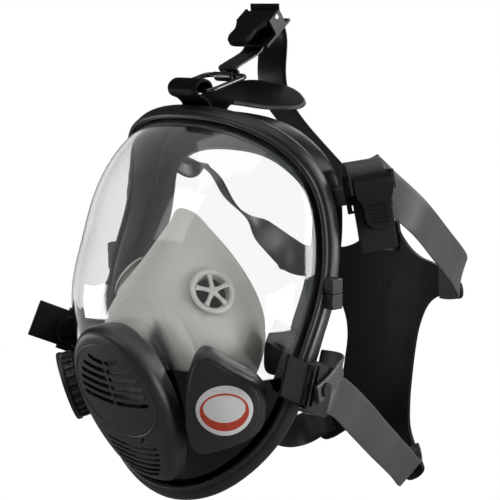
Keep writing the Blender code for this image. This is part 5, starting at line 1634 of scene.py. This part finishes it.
def look_ports():
    mp = skin('port_nylon_look', (0.034, 0.034, 0.036), 0.38, var=0.2, grain=1500, bump=0.12,
              spread=40, wear=0.3)
    pa = {s: port_axis() * np.array([s, 1, 1]) for s in (1, -1)}
    c, a = lens_point(-PORT_XZ[0], PORT_XZ[1]), pa[-1]
    prof = [(-9, 14.0), (-9, 16.6), (2.0, 16.6), (3.2, 18.6), (4.0, 20.2), (4.6, 20.5),
            (5.0, 20.2), (5.6, 20.2), (6.0, 20.5), (6.4, 20.2), (7.0, 20.2), (7.4, 20.5),
            (7.8, 20.2), (8.6, 20.2), (9.5, 20.5), (10.6, 22.0), (11.2, 22.3), (13.1, 22.3),
            (13.5, 21.9), (13.5, 18.6), (13.2, 18.2), (12.4, 18.0), (12.0, 18.2), (11.4, 18.0),
            (11.0, 18.2), (10.4, 18.0), (10.0, 18.2), (5.8, 18.2), (4.4, 14.0)]
    stands_for(lathe('port_body_look_left', prof, c, a, mp, 128, 30), 'port_body_left')
    e1, e2, aa = basis(a)
    # grip ribs round the far port
    for i in range(24):
        t = 2 * math.pi * i / 24
        d = math.cos(t) * e1 + math.sin(t) * e2
        q = math.cos(t) * e2 - math.sin(t) * e1
        rows = [[c + w * a + (20.0 + r) * d + x * q for x, r in
                 ((-0.9, 0.0), (-0.6, 1.6), (0.6, 1.6), (0.9, 0.0))] for w in (4.8, 9.8)]
        extra(swept('port_rib_%02d' % i, rows, False, mp, 30), 'port_body_left')
    paint(bpy.data.objects['port_valve_seat'], mp)
    bevel(bpy.data.objects['port_valve_seat'], 0.25)
    mfl = skin('port_flap_look', (0.36, 0.36, 0.34), 0.45, var=0.08, grain=500, bump=0.12)
    stands_for(disc('port_flap_fine', 5.9, 6.7, 15.4, c, a, mfl, 96, 40, None, 0.2), 'port_flap')
    c2, a2 = lens_point(PORT_XZ[0], PORT_XZ[1]), pa[1]
    stands_for(lathe('port_body_look_right', [(-9, 14.0), (-9, 16.3), (-8.7, 16.6), (-2.7, 16.6),
                                              (-2.4, 16.3), (-2.4, 14.0)], c2, a2, mp, 96),
               'port_body_right')

    # blanking cover: smooth dome with a stepped rim
    mb = skin('blanking_plastic_look', (0.036, 0.036, 0.035), 0.36, var=0.10, grain=1800,
              bump=0.07, spread=20, wear=0.15, spec=0.5)
    H = POD_H
    prof = [(0.12, H), (0.3, H), (0.5, H), (0.7, H), (0.82, H), (0.875, H - 0.02),
            (0.895, H - 0.10), (0.905, H - 0.45), (0.915, H - 0.50), (0.93, H - 0.35),
            (0.945, H - 0.45), (0.96, H - 0.9), (0.975, H - 1.6), (0.988, H - 2.6),
            (0.996, H - 4.0), (1.0, H - 5.5), (1.0, 3.0), (1.0, 0.9), (0.95, 0.9),
            (0.95, H - 3.4), (0.9, H - 2.4), (0.6, H - 2.2), (0.2, H - 2.2)]
    ob = capped('blanking_cover_look', pod_rows(200, prof), mb, 50)
    stands_for(ob, 'blanking_cover')
    look_badge(pa)


def look_badge(pa):
    P0 = (61.7, -49.0)
    bc = lens_point(*P0) + (POD_H + 0.3) * pa[1]
    e1, e2, a = basis(pa[1])
    m = bpy.data.materials.new('badge_print_look')
    m.use_nodes = True
    nt = m.node_tree
    b = nt.nodes['Principled BSDF']
    tc = nt.nodes.new('ShaderNodeTexCoord')

    def along(d, off):
        v = nt.nodes.new('ShaderNodeVectorMath')
        v.operation = 'DOT_PRODUCT'
        nt.links.new(tc.outputs['Object'], v.inputs[0])
        v.inputs[1].default_value = tuple(float(x) for x in d)
        return maths(nt, 'SUBTRACT', v.outputs['Value'], float(np.dot(bc, d) * MM + off * MM))

    def disc_of(r, dx, dy, sx=1.0, sy=1.0):
        x = maths(nt, 'DIVIDE', along(e1, dx), sx)
        y = maths(nt, 'DIVIDE', along(e2, dy), sy)
        q = maths(nt, 'SQRT', maths(nt, 'ADD', maths(nt, 'MULTIPLY', x, x),
                                    maths(nt, 'MULTIPLY', y, y)))
        return maprange(nt, q, (r - 0.12) * MM, (r + 0.12) * MM, 1.0, 0.0)
    out = disc_of(14.2, 0, -0.6, 1.0, 0.88)
    inn = disc_of(12.1, 0, 1.7, 1.0, 0.74)
    f = maths(nt, 'MULTIPLY', out, maths(nt, 'SUBTRACT', 1.0, inn))
    white = ramp(nt, noise(nt, 60, 3.0), [(0.3, (0.93, 0.93, 0.91)), (0.7, (0.98, 0.98, 0.96))])
    red = ramp(nt, noise(nt, 300, 3.0), [(0.3, (0.60, 0.055, 0.03)), (0.7, (0.72, 0.085, 0.045))])
    nt.links.new(mixcol(nt, f, white, red), b.inputs['Base Color'])
    nt.links.new(maprange(nt, noise(nt, 200, 2.0), 0.3, 0.7, 0.28, 0.4), b.inputs['Roughness'])
    bp = node(nt, 'ShaderNodeBump', Strength=0.2, Distance=0.00005)
    nt.links.new(f, bp.inputs['Height'])
    nt.links.new(bp.outputs['Normal'], b.inputs['Normal'])

    def over(p, h):
        lo, hi = -40.0, 60.0
        for _ in range(40):
            mid = (lo + hi) / 2
            q = p + mid * pa[1]
            if q[1] < lens_y(q[0], q[2]):
                hi = mid
            else:
                lo = mid
        return p + (lo + h) * pa[1]
    rows = []
    n = 96
    for h, r in ((POD_H + 0.25, 1.0), (POD_H + 0.25, BADGE_R * 0.5), (POD_H + 0.25, BADGE_R * 0.99),
                 (POD_H + 0.45, BADGE_R), (POD_H + 0.62, BADGE_R * 0.99),
                 (POD_H + 0.68, BADGE_R * 0.96), (POD_H + 0.7, BADGE_R * 0.85),
                 (POD_H + 0.7, BADGE_R * 0.6), (POD_H + 0.7, BADGE_R * 0.3), (POD_H + 0.7, 0.6)):
        rows.append([over(bc + r * (math.cos(2 * math.pi * i / n) * e1
                                    + math.sin(2 * math.pi * i / n) * e2), h) for i in range(n)])
    stands_for(capped('badge_look', rows, m, 40), 'badge')


def look_top():
    mt = skin('tongue_rubber_look', (0.004, 0.004, 0.0045), 0.5, var=0.25, grain=900, bump=0.15,
              spread=35, wear=0.03, big_bump=0.4, spec=0.10)
    X = (1, 0, 0)
    cx = TONGUE_X
    P, D = spline_band([((cx, -39.6, 111.8), X), ((cx, -42.4, 117.5), X), ((cx, -47.0, 121.2), X),
                        ((cx, -53.0, 123.4), X), ((cx, -54.3, 128.0), X), ((cx, -48.5, 131.5), X),
                        ((cx, -41.5, 129.5), X), ((cx, -40.0, 123.5), X)], 90)
    P = relax(P, 12)
    ob = ribbon('forehead_tongue_look', P, [TONGUE_W / 2] * len(P), D, 2.4, mt, 6, 0.15)
    stands_for(ob, 'forehead_tongue')
    ml = skin('tab_rubber_look', (0.0055, 0.0055, 0.006), 0.65, var=0.25, grain=1100, bump=0.25,
              spread=30, big_bump=0.5, spec=0.10)
    P, hw, wd = tab_path(120)
    P = relax(P, 25)
    hw = np.array(hw)
    ob = ribbon('forehead_tab_look', P, hw, wd, 2.2, ml, 6, 0.1)
    stands_for(ob, 'forehead_tab')
    # rolled edge round the tab, coloured paler than the tab as a painted highlight along its rim
    T = np.gradient(P, axis=0)
    left, right = [], []
    for i in range(len(P)):
        t = nv(T[i])
        w = nv(np.asarray(wd[i]) - np.dot(wd[i], t) * t)
        left.append(P[i] - (hw[i] - 0.9) * w)
        right.append(P[i] + (hw[i] - 0.9) * w)
    loop = np.array(left[20:] + right[20:][::-1])
    loop = relax(loop, 6)
    # painted highlight: the edge rubber is coloured several times paler than the tab
    mr = skin('tab_edge_painted_highlight', (0.028, 0.028, 0.028), 0.45, var=0.15, grain=1100, bump=0.15)
    extra(tube('forehead_tab_edge', loop, 1.35, mr), 'forehead_tab')
    mring = skin('ring_wire_look', (0.012, 0.012, 0.012), 0.24, var=0.2, grain=900, bump=0.05,
                 metal=0.0, spec=0.8, coat=0.4, wear=0.1)
    C, nrm = ring_path(16)
    rows = []
    T = np.roll(C, -1, 0) - np.roll(C, 1, 0)
    for i in range(len(C)):
        t = nv(T[i])
        q = nv(np.cross(nrm, t))
        rows.append([C[i] + RING_R * (math.cos(2 * math.pi * k / 20) * q
                                      + math.sin(2 * math.pi * k / 20) * nrm) for k in range(20)])
    stands_for(swept('top_ring_look', rows, True, mring, 60), 'top_ring')


def tube(name, P, r, mat, n=12, closed=False):
    P = np.asarray(P, float)
    T = np.gradient(P, axis=0)
    up = np.array([0.13, 0.21, 0.97])
    rows = []
    e = np.cross(T[0], up)
    for i in range(len(P)):
        t = nv(T[i])
        e = nv(e - e.dot(t) * t)
        f = np.cross(t, e)
        rows.append([P[i] + r * (math.cos(2 * math.pi * k / n) * e + math.sin(2 * math.pi * k / n) * f)
                     for k in range(n)])
    return swept(name, rows, closed, mat, 60)


def look_buckles():
    mb = skin('buckle_coat_look', (0.006, 0.006, 0.006), 0.36, var=0.2, grain=1300, bump=0.1,
              spread=50, wear=0.2, spec=0.45)
    ml = skin('lever_look', (0.0034, 0.0033, 0.0030), 0.55, var=0.25, grain=1500, bump=0.15,
              spread=45, wear=0.05, spec=0.14)
    mp = brushed('steel_pin_look', (0.55, 0.55, 0.54), 0.28)
    for tag, (o, L, W, H) in FRAMES.items():
        body = bpy.data.objects['buckle_body_' + tag]
        paint(body, mb)
        bevel(body, 0.45, 3)
        pin = bpy.data.objects['buckle_pin_' + tag]
        paint(pin, mp)
        bevel(pin, 0.3, 2)
        c = o + PIN_H * H + 4.0 * L
        ob = lever('buckle_lever_look_' + tag, c, L, W, H, ml)
        stands_for(ob, 'buckle_lever_' + tag)
    for n in list(bpy.data.objects):
        if n.name.startswith('rivet_') or n.name.startswith('frame_screw') or n.name.startswith('frame_nut'):
            paint(n, mb if n.name.startswith('rivet') else mp)
            bevel(n, 0.35, 2)


def lever(name, c, L, W, H, mat, length=30.0):
    cam = disc(name, -12.1, 12.1, CAM_R, c, W, mat, 64, 35, None, 0.5)
    out = [(0.5, -12.0), (-7.0, -12.0)]
    out += [(-7.0 - t * 10.0, -12.0 + 3.6 * (t * t * (3 - 2 * t))) for t in np.linspace(0.1, 1, 8)]
    n = 28
    for i in range(n + 1):
        t = math.pi * (-0.5 - i / n)
        out.append((-length + 9 + 9.0 * math.cos(t), 8.8 * math.sin(t)))
    out += [(-7.0 - t * 10.0, 12.0 - 3.6 * (t * t * (3 - 2 * t))) for t in np.linspace(1, 0.1, 8)]
    out += [(-7.0, 12.0), (0.5, 12.0)]
    seen = []
    for p in out:
        if not seen or np.linalg.norm(np.array(p) - np.array(seen[-1])) > 0.05:
            seen.append(p)
    # the tab narrows behind the cam and ends in a round end
    tab = prism('t', seen, c, L, W, H, -0.3, 3.4, mat, 35, 0.5)
    grooves = []
    for k in range(5):
        l = -length + 4.6 + 2.5 * k
        half = 5.4 - 0.25 * abs(k - 2)
        rows = []
        for x in np.linspace(-half, half, 13):
            cl = l + 0.9 * (x / half) ** 2
            rows.append([c + cl * L + x * W + 3.75 * H + 0.75 * (math.cos(q) * L + math.sin(q) * H)
                         for q in np.linspace(0, 2 * math.pi, 11)[:-1]])
        grooves.append(swept('cutter', rows, False, None, 0))
    # five shallow grip grooves across the tab's top
    boolean(tab, grooves, 'DIFFERENCE', 35)
    boolean(cam, [tab], 'UNION')
    boolean(cam, [cutter_cyl(c, W, PIN_R + GAP, -20, 20, 32)])
    return cam


def look_lugs():
    m = skin('lug_rubber_look', (0.075, 0.075, 0.079), 0.42, var=0.1, grain=900, bump=0.12,
             spread=30, big_bump=0.3)
    for side, s in (('right', 1), ('left', -1)):
        for place in ('temple', 'lower'):
            P, wd = lug_path(place, s)
            Q, D = spline_band([(p, w) for p, w in zip(P, wd)], 60)
            Q = relax(Q, 4)
            ob = ribbon('lug_look_%s_%s' % (place, side), Q, [LUG_W / 2] * len(Q), D, LUG_T, m, 6,
                        0.1)
            stands_for(ob, 'lug_%s_%s' % (place, side))
    mk = skin('link_coat_look', (0.02, 0.02, 0.02), 0.25, var=0.25, grain=1300, bump=0.1, spec=0.8,
              wear=0.5, rough_var=0.1)
    P, wd = link_path()
    Q, D = spline_band([(p, w) for p, w in zip(P, wd)], 90)
    Q = relax(Q, 6)
    stands_for(ribbon('top_link_look', Q, [8.0] * len(Q), D, 1.6, mk, 4), 'top_link')


def look_pad():
    m = skin('pad_rubber_look', (0.0060, 0.0056, 0.0054), 0.52, var=0.3, grain=1100, bump=0.25,
             spread=14, spec=0.17, big_bump=0.5)
    full = PAD + [(-x, z) for x, z in PAD[::-1] if x > 0]
    pts = [pad_shift(x, z) for x, z in full]
    fine = []
    n = len(pts)
    for i in range(n):
        a, b, c, d = (np.array(pts[(i + k) % n], float) for k in (-1, 0, 1, 2))
        # a smooth run through the outline's points
        L = np.linalg.norm(c - b)
        for t in np.linspace(0, 1, 9)[:-1]:
            fine.append(0.5 * (2 * b + (c - a) * t + (2 * a - 5 * b + 4 * c - d) * t * t
                               + (3 * b - a - 3 * c + d) * t ** 3) if L > 1e-6 else b)
    nx = 70
    xs = np.linspace(-100, 100, nx)
    rows = []
    for z in (-190.0, 45.0):
        rows.append([(x, pad_y(x), z) for x in xs] + [(x, pad_y(x) + PAD_T, z) for x in xs[::-1]])
    ob = swept('harness_pad_look', rows, False, m, 40)
    cut = swept('cutter', [[(x, 90.0, z) for x, z in fine], [(x, 175.0, z) for x, z in fine]],
                False, None, 0)
    boolean(ob, [cut], 'INTERSECT', 40)
    bevel(ob, 0.7, 3, 50)
    stands_for(ob, 'harness_pad')
    # small moulded mark on the side that faces the head
    mm = skin('pad_mark_look', (0.012, 0.012, 0.012), 0.7, var=0.2, grain=900, bump=0.2)
    rows = []
    for q in np.linspace(0, 2 * math.pi, 49)[:-1]:
        r = 3.0
        x, z = 1.0 + r * math.cos(q), -24.0 + r * math.sin(q)
        rows.append([(x + 0.5 * math.cos(q) * math.cos(k), pad_y(x) - 0.1 + 0.4 * math.sin(k),
                      z + 0.5 * math.sin(q) * math.cos(k)) for k in np.linspace(0, 2 * math.pi, 9)[:-1]])
    extra(swept('pad_mark', rows, True, mm, 60), 'harness_pad')


# strap greys: the right (near) straps are mid grey; the left (far) straps of the same rubber are coloured
# near black as painted shade
STRAP_GREY_AND_PAINTED_SHADE = {'temple_right': (0.066, 0.067, 0.072), 'temple_left': (0.012, 0.012, 0.0125),
        'lower_right': (0.064, 0.062, 0.066), 'lower_left': (0.010, 0.010, 0.010),
        'top': (0.006, 0.006, 0.0065)}


def look_straps():
    for tag in STRAP_TAGS:
        knots = strap_knots(tag)
        steps = 260
        P, D = spline_band(knots, steps)
        P = relax(P, 10)
        L = np.concatenate([[0], np.cumsum(np.linalg.norm(np.diff(P, axis=0), axis=1))])
        o = FRAMES[tag][0]
        i = int(np.argmin(np.linalg.norm(P - o, axis=1)))
        m = strap_skin('strap_%s_look' % tag, STRAP_GREY_AND_PAINTED_SHADE[tag], (0.004, 0.004, 0.0043),
                       (L[i] - 3.0) * MM)
        ob = ribbon('strap_look_' + tag, P, [STRAP_W / 2] * steps, D, STRAP_T, m, 4, 0.0)
        stands_for(ob, 'strap_' + tag)


def main():
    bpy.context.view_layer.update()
    make_camera()
    make_studio()
    look_lens()
    look_frame()
    look_blank()
    look_half_mask()
    look_front()
    look_ports()
    look_top()
    look_buckles()
    look_lugs()
    look_pad()
    look_straps()
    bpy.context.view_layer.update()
    import json


main()
